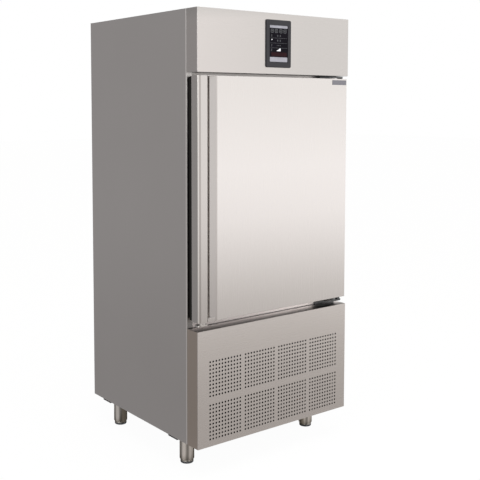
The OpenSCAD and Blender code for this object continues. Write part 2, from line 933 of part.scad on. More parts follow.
// One blade: a cambered plate set at an angle, trimmed to a tapered outline with a round tip
module fan_blade(tip_r) {
    blade_t = 2.4;
    camber_r = 110;
    half_arc = 27;
    pitch = 20;
    root_half = 14;
    tip_half = 44;
    crest_z = 25;
    intersection() {
        translate([0, 0, crest_z]) extrude_x(fan_hub_r - 8, tip_r) rotate(pitch)
            translate([0, -camber_r])
                arc_band(camber_r - blade_t, camber_r, 90 - half_arc, 2 * half_arc);
        linear_extrude(fan_depth) intersection() {
            circle(tip_r);
            polygon([[0, -root_half], [tip_r, -tip_half], [tip_r, tip_half], [0, root_half]]);
        }
    }
}

// An axial fan: a cupped hub with a blind bore, and pitched blades with round tips
module fan_wheel(d, blades) {
    hub_h = fan_depth;
    bore_depth = hub_h - 6;
    difference() {
        union() {
            cylinder(h = hub_h - 8, r = fan_hub_r);
            translate([0, 0, hub_h - 8]) cylinder(h = 8, r1 = fan_hub_r, r2 = fan_hub_r - 12);
            for (i = [0 : blades - 1]) rotate(i * 360 / blades) fan_blade(d / 2);
        }
        translate([0, 0, -1]) cylinder(h = bore_depth + 1, r = shaft_r + fit_gap);
        difference() {
            translate([0, 0, -1]) cylinder(h = 19, r = fan_hub_r - 4);
            translate([0, 0, -2]) cylinder(h = 21, r = 12);
        }
    }
}

// A fan motor behind its wheel: the can, the shaft and four arms with posts to the sheet
module fan_motor(can_r, can_h, arm_reach, post) {
    arm_t = 4;
    cylinder(h = can_h - 10, r = can_r);
    translate([0, 0, can_h - 10]) cylinder(h = 10, r1 = can_r, r2 = can_r - 8);
    translate([0, 0, 1 - fan_depth]) cylinder(h = fan_depth, r = shaft_r);
    for (turn = [45 : 90 : 315]) rotate(turn) {
        translate([0, -9, 0]) cube([arm_reach, 18, arm_t]);
        translate([arm_reach - 7, 0, -post]) cylinder(h = post + arm_t / 2, r = 5);
    }
}

motor_gap = 10;

module condenser_motor() {
    reach = condenser_fan_d / 2 + 22;
    color(black) facing([condenser_fan_x, shroud_back + motor_gap + 18, condenser_fan_z], [0, 1, 0])
        fan_motor(45, 70, reach, motor_gap + 18);
}

module condenser_fan() {
    color(dark_grey)
        translate([condenser_fan_x, shroud_back + motor_gap + 8, condenser_fan_z])
            rotate([90, 0, 0]) fan_wheel(condenser_fan_d, fan_blades);
}

// The upright vessel that holds spare refrigerant, with two short stubs for its tubes
module liquid_receiver() {
    r = receiver_r;
    dome = 20;
    color(dark_grey) translate([receiver_x, receiver_y, 0]) {
        rotate_extrude() {
            rect([0, receiver_z[0] + dome], [r, receiver_z[1] - dome]);
            intersection() {
                translate([0, receiver_z[1] - 85]) circle(85);
                rect([0, receiver_z[1] - dome - 0.5], [r, receiver_z[1]]);
            }
            intersection() {
                translate([0, receiver_z[0] + 85]) circle(85);
                rect([0, receiver_z[0]], [r, receiver_z[0] + dome + 0.5]);
            }
        }
        for (x = receiver_outlets) translate([x, 0, 0])
            extrude_z(receiver_z[1] - dome, outlet_top) circle(copper_d / 2 + 2);
        extrude_z(floor_z, receiver_z[0] + dome) difference() {
            circle(r - 6);
            circle(r - 9);
        }
    }
}

drier_x = 290;
drier_y = 120;
drier_z = [240, 380];
line_top = 470;

// A spun copper filter in the liquid line
module filter_drier() {
    r = 22;
    color(copper) translate([drier_x, drier_y, 0]) {
        extrude_z(drier_z[0] + 14, drier_z[1] - 14) circle(r);
        translate([0, 0, drier_z[0]]) cylinder(h = 14, r1 = copper_d / 2 + 2, r2 = r);
        translate([0, 0, drier_z[1] - 14]) cylinder(h = 14, r1 = r, r2 = copper_d / 2 + 2);
    }
}

condenser_tube_y = (condenser_y[0] + condenser_y[1]) / 2;
condenser_top_tube = condenser_z[1] - condenser_size.z / condenser_tubes / 2;
condenser_low_tube = condenser_z[0] + condenser_size.z / condenser_tubes / 2;

// Hot gas, from the compressor to the top of the condenser
module discharge_line() {
    tail = condenser_x[1] + 3;
    color(copper) tube_run([
        [compressor_x + 60, compressor_y, 375],
        [compressor_x + 60, compressor_y, 530],
        [tail + 40, compressor_y, 530],
        [tail + 40, condenser_tube_y, 530],
        [tail + 40, condenser_tube_y, condenser_top_tube],
        [tail, condenser_tube_y, condenser_top_tube]
    ], copper_d, copper_bend);
}

// Liquid, from the bottom of the condenser to the receiver's top
module condenser_line() {
    tail = condenser_x[1] + 3;
    end_x = receiver_x + receiver_outlets[0];
    color(copper) tube_run([
        [tail, condenser_tube_y, condenser_low_tube],
        [end_x, condenser_tube_y, condenser_low_tube],
        [end_x, receiver_y - 90, condenser_low_tube],
        [end_x, receiver_y - 90, line_top],
        [end_x, receiver_y, line_top],
        [end_x, receiver_y, outlet_top]
    ], copper_d, copper_bend);
}

evaporator_size = [520, 90, 768];
evaporator_y = chamber_back - 60;
evaporator_z = (baffle_z[0] + baffle_z[1]) / 2;
evaporator_tubes = 12;
evaporator_low_tube = evaporator_z - evaporator_size.z / 2
                    + evaporator_size.z / evaporator_tubes / 2;
evaporator_top_tube = evaporator_z + evaporator_size.z / 2
                    - evaporator_size.z / evaporator_tubes / 2;
evaporator_row_y = evaporator_size.y / 4;

// Liquid, from the receiver through the filter and up to the evaporator
module liquid_line() {
    start_x = receiver_x + receiver_outlets[1];
    thin = 10;
    tail = -evaporator_size.x / 2 - 3;
    run_y = evaporator_y - evaporator_row_y;
    color(copper) {
        tube_run([
            [start_x, receiver_y, outlet_top],
            [start_x, receiver_y, line_top + 20],
            [start_x, drier_y, line_top + 20],
            [drier_x, drier_y, line_top + 20],
            [drier_x, drier_y, drier_z[1]]
        ], thin, 11);
        tube_run([
            [drier_x, drier_y, drier_z[0]],
            [drier_x, drier_y, 200],
            [drier_x, run_y, 200],
            [drier_x, run_y, chamber_bottom + 28],
            [tail - 25, run_y, chamber_bottom + 28],
            [tail - 25, run_y, evaporator_low_tube],
            [tail, run_y, evaporator_low_tube]
        ], thin, 11);
    }
}

// Cold gas, from the evaporator back to the compressor
module suction_line() {
    tail = -evaporator_size.x / 2 - 3;
    end_x = compressor_x - 60;
    end_y = compressor_y + 30;
    run_y = evaporator_y + evaporator_row_y;
    wide = 14;
    color(copper) tube_run([
        [tail, run_y, evaporator_low_tube],
        [tail - 30, run_y, evaporator_low_tube],
        [tail - 30, run_y, chamber_bottom + 50],
        [line_x + 8, run_y, chamber_bottom + 50],
        [line_x + 8, run_y, 500],
        [end_x, run_y, 500],
        [end_x, end_y, 500],
        [end_x, end_y, 375]
    ], wide, 16);
}

tray_x = 60;
tray_y = 310;

// The chamber's floor drain and the pipe that empties it into the tray
module drain_pipe() {
    pipe_r = 9;
    flange_t = 2;
    lip_r = drain_r + 10;
    outlet_y = tray_y + 20;
    color(dark_grey) {
        translate([drain_x, drain_y, chamber_bottom]) difference() {
            union() {
                cylinder(h = flange_t, r = lip_r);
                translate([0, 0, -70]) cylinder(h = 71, r = drain_r);
            }
            translate([0, 0, -60]) cylinder(h = 63, r = drain_r - 3);
        }
        tube_run([
            [drain_x, drain_y, chamber_bottom - 69],
            [drain_x, drain_y, 555],
            [drain_x, 60, 555],
            [tray_x, 60, 555],
            [tray_x, outlet_y, 555],
            [tray_x, outlet_y, 190]
        ], 2 * pipe_r, 20);
    }
}

// The pan under the drain, which the warm machine space dries out
module condensate_tray() {
    size = [300, 110, 42];
    wall = 1.5;
    color(dark_grey) translate([tray_x, tray_y, floor_z]) difference() {
        extrude_z(0, size.z) rounded_rect(size.x, size.y, 10);
        extrude_z(wall, size.z + 1) rounded_rect(size.x - 2 * wall, size.y - 2 * wall, 8.5);
    }
}

// ---- Chamber ----

module evaporator_coil() {
    color(fin_grey) translate([0, evaporator_y, evaporator_z])
        finned_coil(evaporator_size, 40, 2, evaporator_tubes, copper_d);
}

// The sheet that the fans draw through: two rolled rings and side slots for the returning air
module fan_baffle() {
    half = chamber_half - 1;
    ring_d = 40;
    wall = 1.5;
    slot_rows = 12;
    slot_x = half - 34;
    return_d = 100;
    color(steel) {
        extrude_y(baffle_y, baffle_y + wall) difference() {
            rect([-half, baffle_z[0]], [half, baffle_z[1]]);
            for (z = fan_centres_z) translate([0, z]) circle(fan_ring_r);
            for (x = [-slot_x, slot_x], i = [0 : slot_rows - 1])
                translate([x, baffle_z[0] + 50 + i * 65]) rotate(90) slot(48, 16);
        }
        for (z = fan_centres_z) extrude_y(baffle_y + wall / 2, baffle_y + ring_d)
            translate([0, z]) difference() {
                circle(fan_ring_r + wall);
                circle(fan_ring_r);
            }
        for (z = [baffle_z[0], baffle_z[1] - wall])
            block([-half, baffle_y + wall / 2, z], [half, baffle_y + return_d, z + wall]);
    }
}

module evaporator_motors() {
    color(black) for (z = fan_centres_z)
        facing([0, motor_y, z], [0, 1, 0])
            fan_motor(40, 62, fan_ring_r + 22, motor_y - baffle_y - 1.5);
}

module upper_evaporator_fan() {
    color(dark_grey) translate([0, evaporator_fan_y, fan_centres_z[1]])
        rotate([90, 0, 0]) fan_wheel(evaporator_fan_d, fan_blades);
}

module lower_evaporator_fan() {
    color(dark_grey) translate([0, evaporator_fan_y, fan_centres_z[0]])
        rotate([90, 0, 0]) fan_wheel(evaporator_fan_d, fan_blades);
}

// A wire guard: rings on crossed spokes, standing on four short posts
module fan_guard() {
    wire_r = 1.5;
    rings = 6;
    ring_step = 27;
    first_ring = 28;
    outer_r = first_ring + (rings - 1) * ring_step;
    for (i = [0 : rings - 1]) rotate_extrude()
        translate([first_ring + i * ring_step, 7]) circle(wire_r);
    for (turn = [0 : 60 : 300]) rotate(turn) translate([first_ring, 0, 4.6])
        rotate([0, 90, 0]) cylinder(h = outer_r - first_ring, r = wire_r);
    for (turn = [30 : 90 : 300]) rotate(turn) translate([outer_r, 0, 0])
        cylinder(h = 7, r = 2.5);
}

module fan_guards() {
    color(steel) for (z = fan_centres_z)
        translate([0, baffle_y, z]) rotate([90, 0, 0]) fan_guard();
}

// A rack: two drilled posts, with one rod loop for each tray seated in their holes
module tray_rack() {
    post_z = [chamber_bottom + 10, first_tray_z + (tray_count - 1) * tray_pitch + 60];
    tray_z = [for (i = [0 : tray_count - 1]) first_tray_z + i * tray_pitch];
    difference() {
        for (y = rack_y) {
            translate([-rack_post_x, y, post_z[0]])
                cylinder(h = post_z[1] - post_z[0], r = rack_post_r);
            for (z = [post_z[0] + 20, post_z[1] - 20])
                translate([-chamber_half, y, z]) rotate([0, 90, 0]) cylinder(h = 8, r = 5);
        }
        for (y = rack_y, z = tray_z) translate([-rack_post_x - 0.5, y, z])
            rotate([0, 90, 0]) cylinder(h = 10, r = runner_r + fit_gap);
    }
    for (z = tray_z) tube_run([
        [-rack_post_x, rack_y[0], z], [-runner_x, rack_y[0], z],
        [-runner_x, rack_y[1], z], [-rack_post_x, rack_y[1], z]
    ], 2 * runner_r, 10);
}

module left_tray_rack() {
    color(steel) tray_rack();
}

module right_tray_rack() {
    color(steel) mirror([1, 0, 0]) tray_rack();
}

// ---- Door ----

// The slope leaves the front face three deep for every four along, and the sheet then turns
// straight back to the pocket's floor, which leaves a narrow dark slot beside the lip
floor_line = pocket_depth - 0.5;
slope_run = 22;
slope_start = slope_end - slope_run;
slope_depth = 0.5 + slope_run * 3 / 4;

// The middle line of the handle sheet, from the side of the door, round the lip and through
// the finger pocket to the front face
handle_line = [
    [0.5, door_side_d], [0.5, 0.5], [lip_w - 0.5, 0.5], [lip_w - 0.5, lip_t - 0.5],
    [11, lip_t - 0.5], [11, floor_line], [slope_start, floor_line],
    [slope_start, slope_depth], [slope_end, 0.5], [slope_end + 4, 0.5]
];
hem_r = (lip_t - 1) / 2;
handle_bends = [handle_edge_r, hem_r, hem_r, 3, 6, 6, 3, 3];

// The grip: one sheet folded into a lip, a finger pocket and a slope
module handle_profile() {
    color(steel) translate([door_left, door_y, 0]) extrude_z(door_bottom, door_top)
        folded_sheet(handle_line, handle_bends, door_sheet);
}

// The pocket's open section, a little smaller than the sheet round it
module pocket_plan() {
    floor_y = pocket_depth - 1.4;
    wall_x = slope_start - 0.9;
    polygon([
        [lip_w + 0.8, 1], [slope_end - 2.6, 1], [wall_x, slope_depth - 0.5],
        [wall_x, floor_y - 5.6], [wall_x - 5.6, floor_y], [17.6, floor_y], [12, floor_y - 5.6],
        [12, lip_t + 3], [15, lip_t + 0.5], [lip_w, lip_t + 0.5], [lip_w + 0.8, lip_t - 1]
    ]);
}

// The mouldings that close the pocket's ends; the lower one has a sill under the door
module handle_end_caps() {
    lower_cap = 14;
    upper_cap = 3;
    sill_z = [601, 608];
    color(steel) translate([door_left, door_y, 0]) {
        extrude_z(door_bottom, door_bottom + lower_cap) pocket_plan();
        extrude_z(door_top - upper_cap, door_top) pocket_plan();
        extrude_z(sill_z[1] - 1, door_bottom + 1) rect([14, lip_t + 2], [lip_w - 4, 20]);
        extrude_z(sill_z[0], sill_z[1]) translate([lip_w / 2, 12]) rounded_rect(lip_w, 24, 3);
    }
}

// The front sheet from the handle to the hinge side, with its top and bottom returns
module door_skin() {
    side_x = door_right - door_sheet / 2;
    y = door_y + door_sheet / 2;
    fold_r = 3;
    edge_y = door_y + door_side_d;
    color(steel) difference() {
        union() {
            extrude_z(door_bottom, door_top)
                folded_sheet([[skin_start, y], [side_x, y], [side_x, edge_y]], [fold_r], door_sheet);
            for (z = [door_bottom, door_top - door_sheet]) extrude_z(z, z + door_sheet)
                intersection() {
                    rect([skin_start, door_y], [door_right, edge_y]);
                    translate([0, door_y + 100]) rounded_rect(2 * door_right, 200, fold_r + 0.5);
                }
        }
        translate([hinge_x, hinge_y, door_bottom - 5]) cylinder(h = 10, r = bush_r + 0.1);
        translate([hinge_x, hinge_y, door_top - 5]) cylinder(h = 10, r = bush_r + 0.1);
    }
}

// The front outline of the door's foam, stepped back behind the finger pocket
module door_foam_plan() {
    back = door_side_d - 0.2;
    polygon([
        [1.5, pocket_depth + 1], [slope_start + 1.5, pocket_depth + 1],
        [slope_start + 1.5, slope_depth + 2], [slope_end + 2, 1.5],
        [door_right - door_left - 4, 1.5], [door_right - door_left - 1.5, 4],
        [door_right - door_left - 1.5, back], [1.5, back]
    ]);
}

module door_foam() {
    inset = door_sheet + 0.5;
    bush_depth = 36;
    plug_h = chamber_top - chamber_bottom - 23;
    color(foam_yellow) difference() {
        union() {
            translate([door_left, door_y, 0])
                extrude_z(door_bottom + inset, door_top - inset) door_foam_plan();
            extrude_y(door_back - 1, plug_back - 1.5)
                translate([0, (chamber_bottom + chamber_top) / 2])
                    rounded_rect(2 * plug_half - 3, plug_h, 10.5);
        }
        translate([hinge_x, hinge_y, door_bottom - 1]) cylinder(h = bush_depth + 1, r = bush_r + 0.2);
        translate([hinge_x, hinge_y, door_top - bush_depth])
            cylinder(h = bush_depth + 1, r = bush_r + 0.2);
        block([switch_x - 22, hinge_y - 8, door_top - 20], [switch_x + 22, hinge_y + 8, door_top]);
    }
}

// The inner sheet, pressed out into the chamber's mouth
module door_liner() {
    middle_z = (chamber_bottom + chamber_top) / 2;
    plug_h = chamber_top - chamber_bottom - 20;
    plug_r = 12;
    color(steel) difference() {
        extrude_y(door_back + 0.2, plug_back) translate([0, middle_z])
            rounded_rect(2 * plug_half, plug_h, plug_r);
        extrude_y(door_back - 1, plug_back - 1) translate([0, middle_z])
            rounded_rect(2 * plug_half - 2, plug_h - 2, plug_r - 1);
    }
}

profile_z = [620, 1558];

// The plastic profile round the door's back, grooved for the gasket
module door_profile() {
    middle_z = (profile_z[0] + profile_z[1]) / 2;
    profile_h = profile_z[1] - profile_z[0];
    inner_h = chamber_top - chamber_bottom - 19;
    groove_mid = gasket_half - gasket_w / 2;
    gasket_h = gasket_z[1] - gasket_z[0] - gasket_w;
    groove = 5.4;
    color(black) difference() {
        extrude_y(door_back + 0.2, profile_back) difference() {
            translate([0, middle_z]) rounded_rect(door_right - door_left, profile_h, 3);
            translate([0, (chamber_bottom + chamber_top) / 2])
                rounded_rect(2 * profile_inner, inner_h, 12.5);
        }
        extrude_y(profile_back - 5.6, profile_back + 1)
            translate([0, (gasket_z[0] + gasket_z[1]) / 2]) difference() {
                square([2 * groove_mid + groove, gasket_h + groove], center = true);
                square([2 * groove_mid - groove, gasket_h - groove], center = true);
            }
    }
}

// The magnetic gasket: a hollow bellows with a dart in the profile's groove
module door_gasket() {
    back = body_y - hair;
    middle_z = (gasket_z[0] + gasket_z[1]) / 2;
    outer_h = gasket_z[1] - gasket_z[0];
    dart = 5;
    waist = 2;
    magnet_d = 5;
    color(black) {
        extrude_y(profile_back, profile_back + 3) translate([0, middle_z]) difference() {
            rounded_rect(2 * gasket_half, outer_h, 3);
            square([2 * (gasket_half - gasket_w), outer_h - 2 * gasket_w], center = true);
        }
        extrude_y(profile_back + 2, back - magnet_d + 1) translate([0, middle_z]) difference() {
            square([2 * (gasket_half - waist), outer_h - 2 * waist], center = true);
            square([2 * (gasket_half - gasket_w + waist), outer_h - 2 * (gasket_w - waist)],
                   center = true);
        }
        extrude_y(back - magnet_d, back) translate([0, middle_z]) difference() {
            rounded_rect(2 * gasket_half, outer_h, 3);
            square([2 * (gasket_half - gasket_w), outer_h - 2 * gasket_w], center = true);
        }
        extrude_y(profile_back - 5, profile_back + 1) translate([0, middle_z]) difference() {
            square([2 * gasket_half - gasket_w + dart, outer_h - gasket_w + dart], center = true);
            square([2 * gasket_half - gasket_w - dart, outer_h - gasket_w - dart], center = true);
        }
    }
}

// A bare plate at the door's upper corner
module door_badge() {
    size = [82, 20];
    middle = [350, 1546];
    color(fin_grey) extrude_y(door_y - 1, door_y) translate(middle)
        rounded_rect(size.x, size.y, 1.5);
}

// Nylon bushes that run on the hinge pins
module hinge_bushes() {
    flange_r = 12;
    length = 34;
    color(black) {
        translate([hinge_x, hinge_y, 0]) difference() {
            union() {
                extrude_z(door_bottom - 4.5, door_bottom) circle(flange_r);
                extrude_z(door_bottom - 1, door_bottom + length) circle(bush_r);
            }
            extrude_z(door_bottom - 6, door_bottom + length + 1) circle(pin_r + fit_gap);
        }
        translate([hinge_x, hinge_y, 0]) difference() {
            union() {
                extrude_z(door_top, door_top + 3.5) circle(flange_r);
                extrude_z(door_top - length, door_top + 1) circle(bush_r);
            }
            extrude_z(door_top - length - 1, door_top + 5) circle(pin_r + fit_gap);
        }
    }
}

// The small magnet that works the door switch
module door_magnet() {
    color(dark_grey) block([switch_x - 20, hinge_y - 6, door_top - 12],
                           [switch_x + 20, hinge_y + 6, door_top - door_sheet - 0.2]);
}

left_side_panel();
right_side_panel();
top_panel();
back_panel();
tank_foam();
chamber_liner();
front_frame();
base_pan();
foot_plates();
leg_tubes();
adjuster_front_left();
adjuster_front_right();
adjuster_rear_left();
adjuster_rear_right();
header_panel();
controller_bezel();
controller_glass();
circuit_boards();
control_box();
door_switch();
top_hinge_bracket();
bottom_hinge_bracket();
panel_screws();
vent_panel();
vent_panel_frame();
rear_grille();
compressor();
compressor_grommets();
terminal_cover();
condenser_coil();
condenser_shroud();
condenser_motor();
condenser_fan();
liquid_receiver();
filter_drier();
discharge_line();
condenser_line();
liquid_line();
suction_line();
drain_pipe();
condensate_tray();
cable_gland();
evaporator_coil();
fan_baffle();
evaporator_motors();
upper_evaporator_fan();
lower_evaporator_fan();
fan_guards();
left_tray_rack();
right_tray_rack();
handle_profile();
handle_end_caps();
door_skin();
door_foam();
door_liner();
door_profile();
door_gasket();
door_badge();
hinge_bushes();
door_magnet();
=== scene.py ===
# %% [markdown]
# # An upright blast chiller, dressed for a studio picture
#
# The solid model is already packed as a frame: every sheet, coil and fan is a node in metres, with
# the floor at zero and the front facing minus Y. This lesson loads that frame, lights it like a
# catalogue photograph, gives every node a finish, and then models what needs a finer hand: the
# picture on the touch screen, the gasket, the strips at the door's ends, and the feet.

# %% Load the frame
import math

import bpy
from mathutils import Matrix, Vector


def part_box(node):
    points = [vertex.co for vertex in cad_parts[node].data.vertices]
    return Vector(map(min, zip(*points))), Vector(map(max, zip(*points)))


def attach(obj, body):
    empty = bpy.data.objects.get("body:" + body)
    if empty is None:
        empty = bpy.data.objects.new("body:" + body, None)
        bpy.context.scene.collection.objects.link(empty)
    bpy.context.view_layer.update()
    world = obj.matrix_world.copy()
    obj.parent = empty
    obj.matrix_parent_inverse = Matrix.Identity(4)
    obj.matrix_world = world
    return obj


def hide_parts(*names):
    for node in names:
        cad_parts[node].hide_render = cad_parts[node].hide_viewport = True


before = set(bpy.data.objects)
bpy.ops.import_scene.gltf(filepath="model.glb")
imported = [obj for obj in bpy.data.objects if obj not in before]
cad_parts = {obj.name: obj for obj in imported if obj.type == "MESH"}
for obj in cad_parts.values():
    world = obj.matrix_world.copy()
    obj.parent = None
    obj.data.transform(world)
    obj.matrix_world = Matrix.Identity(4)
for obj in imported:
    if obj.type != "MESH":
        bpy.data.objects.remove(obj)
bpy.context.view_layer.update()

# %% [markdown]
# ## The camera
#
# The photograph was taken from the front left, a little above the middle of the cabinet, with a
# longish lens. The place and the two angles were found by matching the cabinet's corners, so the
# camera is set with plain numbers: where it stands, how far it turns, and how far it tips down.

# %% Camera
CAMERA_PLACE = Vector((-2.2549, -2.9764, 1.447))
CAMERA_TURN = 0.6483
CAMERA_TIP = -0.0747
LENS_MM = 63.2

camera_data = bpy.data.cameras.new("camera")
camera_data.lens = LENS_MM
camera_data.sensor_width = 36.0
camera_data.shift_x = 0.051
camera_data.shift_y = -0.148
camera_data.clip_end = 100.0
camera = bpy.data.objects.new("camera", camera_data)
bpy.context.scene.collection.objects.link(camera)
camera.location = CAMERA_PLACE
camera.rotation_euler = (math.pi / 2 + CAMERA_TIP, 0.0, -CAMERA_TURN)
bpy.context.scene.camera = camera
print("camera at", tuple(CAMERA_PLACE))

# %% [markdown]
# ## Small helpers for nodes
#
# A material is a tree of nodes. One helper adds a node and fills its sockets, from numbers or from
# other sockets. Two more make a node group with named sockets, and place it in a material.

# %% Nodes and groups
def put(tree, kind, inputs=None, **settings):
    """Adds a node, sets its options, and fills or links its input sockets."""
    node = tree.nodes.new(kind)
    for key, value in settings.items():
        setattr(node, key, value)
    for key, value in (inputs or {}).items():
        if isinstance(value, bpy.types.NodeSocket):
            tree.links.new(value, node.inputs[key])
        else:
            node.inputs[key].default_value = value
    return node


def new_group(name, inputs, outputs):
    """A shader node group with the named sockets, and its two end nodes."""
    group = bpy.data.node_groups.new(name, "ShaderNodeTree")
    for label, kind, value in inputs:
        socket = group.interface.new_socket(label, in_out="INPUT", socket_type=kind)
        socket.default_value = value
    for label, kind in outputs:
        group.interface.new_socket(label, in_out="OUTPUT", socket_type=kind)
    return group, put(group, "NodeGroupInput"), put(group, "NodeGroupOutput")


def use_group(tree, group, **inputs):
    """Places a group in a material; spaces in socket names are written as underscores."""
    sockets = {key.replace("_", " "): value for key, value in inputs.items()}
    return put(tree, "ShaderNodeGroup", sockets, node_tree=group)


# %% [markdown]
# A recipe asks again and again where a point lies, which way the surface faces, and how one number
# becomes another, so each of these gets a short name.

# %% Place, direction, numbers and colours
def object_place(tree):
    """Where a point lies on the object, in metres."""
    return put(tree, "ShaderNodeTexCoord").outputs["Object"]


def axes(tree, vector):
    """The X, Y and Z of a vector."""
    return put(tree, "ShaderNodeSeparateXYZ", {0: vector}).outputs


def surface_way(tree):
    """The way that the surface faces."""
    return put(tree, "ShaderNodeNewGeometry").outputs["Normal"]


def noise(tree, scale, detail):
    """A cloudy value from 0 to 1 that is fixed to the object."""
    return put(tree, "ShaderNodeTexNoise", {
        "Vector": object_place(tree), "Scale": scale, "Detail": detail}).outputs["Fac"]


def math_node(tree, operation, a, b=0.0, clamp=False):
    """One sum, with sockets or numbers."""
    return put(tree, "ShaderNodeMath", {0: a, 1: b}, operation=operation,
               use_clamp=clamp).outputs[0]


def times(tree, a, b):
    """A product, which of two masks is on where both are."""
    return math_node(tree, "MULTIPLY", a, b)


def remap(tree, value, low, high, to_low=0.0, to_high=1.0):
    """A ramp: to_low up to low, to_high from high on. Low may be the larger of the two."""
    return put(tree, "ShaderNodeMapRange", {
        "Value": value, "From Min": low, "From Max": high, "To Min": to_low, "To Max": to_high,
    }).outputs["Result"]


FIRST_COLOUR, SECOND_COLOUR, MIXED_COLOUR = 6, 7, 2


def blend_colour(tree, factor, a, b):
    """Colour a where the factor is 0, and colour b where it is 1."""
    node = put(tree, "ShaderNodeMix", {"Factor": factor}, data_type="RGBA")
    for index, value in ((FIRST_COLOUR, a), (SECOND_COLOUR, b)):
        if isinstance(value, bpy.types.NodeSocket):
            tree.links.new(value, node.inputs[index])
        else:
            node.inputs[index].default_value = (*value[:3], 1.0)
    return node.outputs[MIXED_COLOUR]


# %% [markdown]
# ## Effects that several finishes share
#
# Brushed steel, paint and plastic all show the same few things: grain or texture, rubbed edges,
# dust on what faces up, and slow changes of tone. Each is a group made once, which puts out a mask
# or a height, so a finish only chooses how strongly to use it.
#
# Grain comes first. A noise is pulled long by multiplying the place by a different number on each
# axis, which costs less than hundreds of modelled scratches.

# %% Grain group
grain, ends_in, ends_out = new_group(
    "stretched grain",
    [("Stretch", "NodeSocketVector", (1.0, 1.0, 1.0)), ("Detail", "NodeSocketFloat", 3.0)],
    [("Streaks", "NodeSocketFloat")],
)
pulled = put(grain, "ShaderNodeVectorMath",
             {0: object_place(grain), 1: ends_in.outputs["Stretch"]}, operation="MULTIPLY")
streaks = put(grain, "ShaderNodeTexNoise", {
    "Vector": pulled.outputs[0], "Scale": 1.0, "Detail": ends_in.outputs["Detail"],
    "Roughness": 0.65})
grain.links.new(streaks.outputs["Fac"], ends_out.inputs["Streaks"])
print("group:", grain.name)

# %% [markdown]
# A folded or cut edge is touched most, so it shines. The Bevel node rounds the normal near an edge.
# Where the rounded normal and the true one differ there is an edge, and a noise breaks the mask up.

# %% Edge wear group
EDGE_STARTS, EDGE_FULL = 0.02, 0.2
PATCH_LOW, PATCH_HIGH = 0.35, 0.65

wear, ends_in, ends_out = new_group(
    "rubbed edges",
    [("Radius", "NodeSocketFloat", 0.002), ("Patches", "NodeSocketFloat", 60.0)],
    [("Mask", "NodeSocketFloat"), ("Soft Normal", "NodeSocketVector")],
)
rounded = put(wear, "ShaderNodeBevel", {"Radius": ends_in.outputs["Radius"]},
              samples=4).outputs[0]
alike = put(wear, "ShaderNodeVectorMath", {0: rounded, 1: surface_way(wear)},
            operation="DOT_PRODUCT").outputs["Value"]
edge = remap(wear, math_node(wear, "SUBTRACT", 1.0, alike), EDGE_STARTS, EDGE_FULL)
broken = remap(wear, noise(wear, ends_in.outputs["Patches"], 4.0), PATCH_LOW, PATCH_HIGH)
wear.links.new(times(wear, edge, broken), ends_out.inputs["Mask"])
wear.links.new(rounded, ends_out.inputs["Soft Normal"])
print("group:", wear.name)

# %% [markdown]
# Dust lies on what faces up, in drifts. The normal's Z finds those faces.

# %% Dust group
LEVEL_STARTS, LEVEL_FULL = 0.3, 1.0
DRIFT_LOW, DRIFT_HIGH = 0.3, 0.8

dust, ends_in, ends_out = new_group(
    "settled dust", [("Amount", "NodeSocketFloat", 0.3)], [("Mask", "NodeSocketFloat")],
)
upward = remap(dust, axes(dust, surface_way(dust))["Z"], LEVEL_STARTS, LEVEL_FULL)
drifts = remap(dust, noise(dust, scale=9.0, detail=6.0), DRIFT_LOW, DRIFT_HIGH)
lying = times(dust, upward, drifts)
dust.links.new(math_node(dust, "MULTIPLY", lying, ends_in.outputs["Amount"], clamp=True),
               ends_out.inputs["Mask"])
print("group:", dust.name)

# %% [markdown]
# No large surface has quite the same tone all over. A noise with little detail gives slow clouds.

# %% Tone group
CLOUD_LOW, CLOUD_HIGH = 0.3, 0.7

tone, ends_in, ends_out = new_group(
    "slow tone", [("Size", "NodeSocketFloat", 2.0)], [("Tone", "NodeSocketFloat")],
)
clouds = noise(tone, ends_in.outputs["Size"], 2.0)
tone.links.new(remap(tone, clouds, CLOUD_LOW, CLOUD_HIGH), ends_out.inputs["Tone"])
print("shared groups:", [group.name for group in bpy.data.node_groups])

# %% [markdown]
# ## Brushed stainless steel
#
# The cabinet is folded from sheet that was brushed in one direction. Close up it has fine streaks
# that change the gloss and tip the surface a little; from afar it is a soft mirror with a slow
# change of tone. The recipe stretches one noise along the brushing, and lets it drive colour,
# roughness and a very low bump. Folded edges are rubbed brighter.

# %% Material base
def new_material(name):
    """A material with an empty Principled shader, its tree, and that shader's node."""
    material = bpy.data.materials.new(name)
    material.use_nodes = True
    return material, material.node_tree, material.node_tree.nodes["Principled BSDF"]


# %% Steel recipe
X_AXIS, Y_AXIS, Z_AXIS = 0, 1, 2
FINE_ACROSS, FINE_ALONG = 1400.0, 9.0
BROAD_ACROSS, BROAD_ALONG = 160.0, 1.5
RUBBED_STEEL = (0.92, 0.92, 0.91)


def stretch_along(axis, across, along):
    """Noise scales for streaks that follow one axis."""
    stretch = [across, across, across]
    stretch[axis] = along
    return stretch


def shaded(colour, share):
    """A colour made darker or lighter, and never above white."""
    return [min(1.0, c * share) for c in colour]


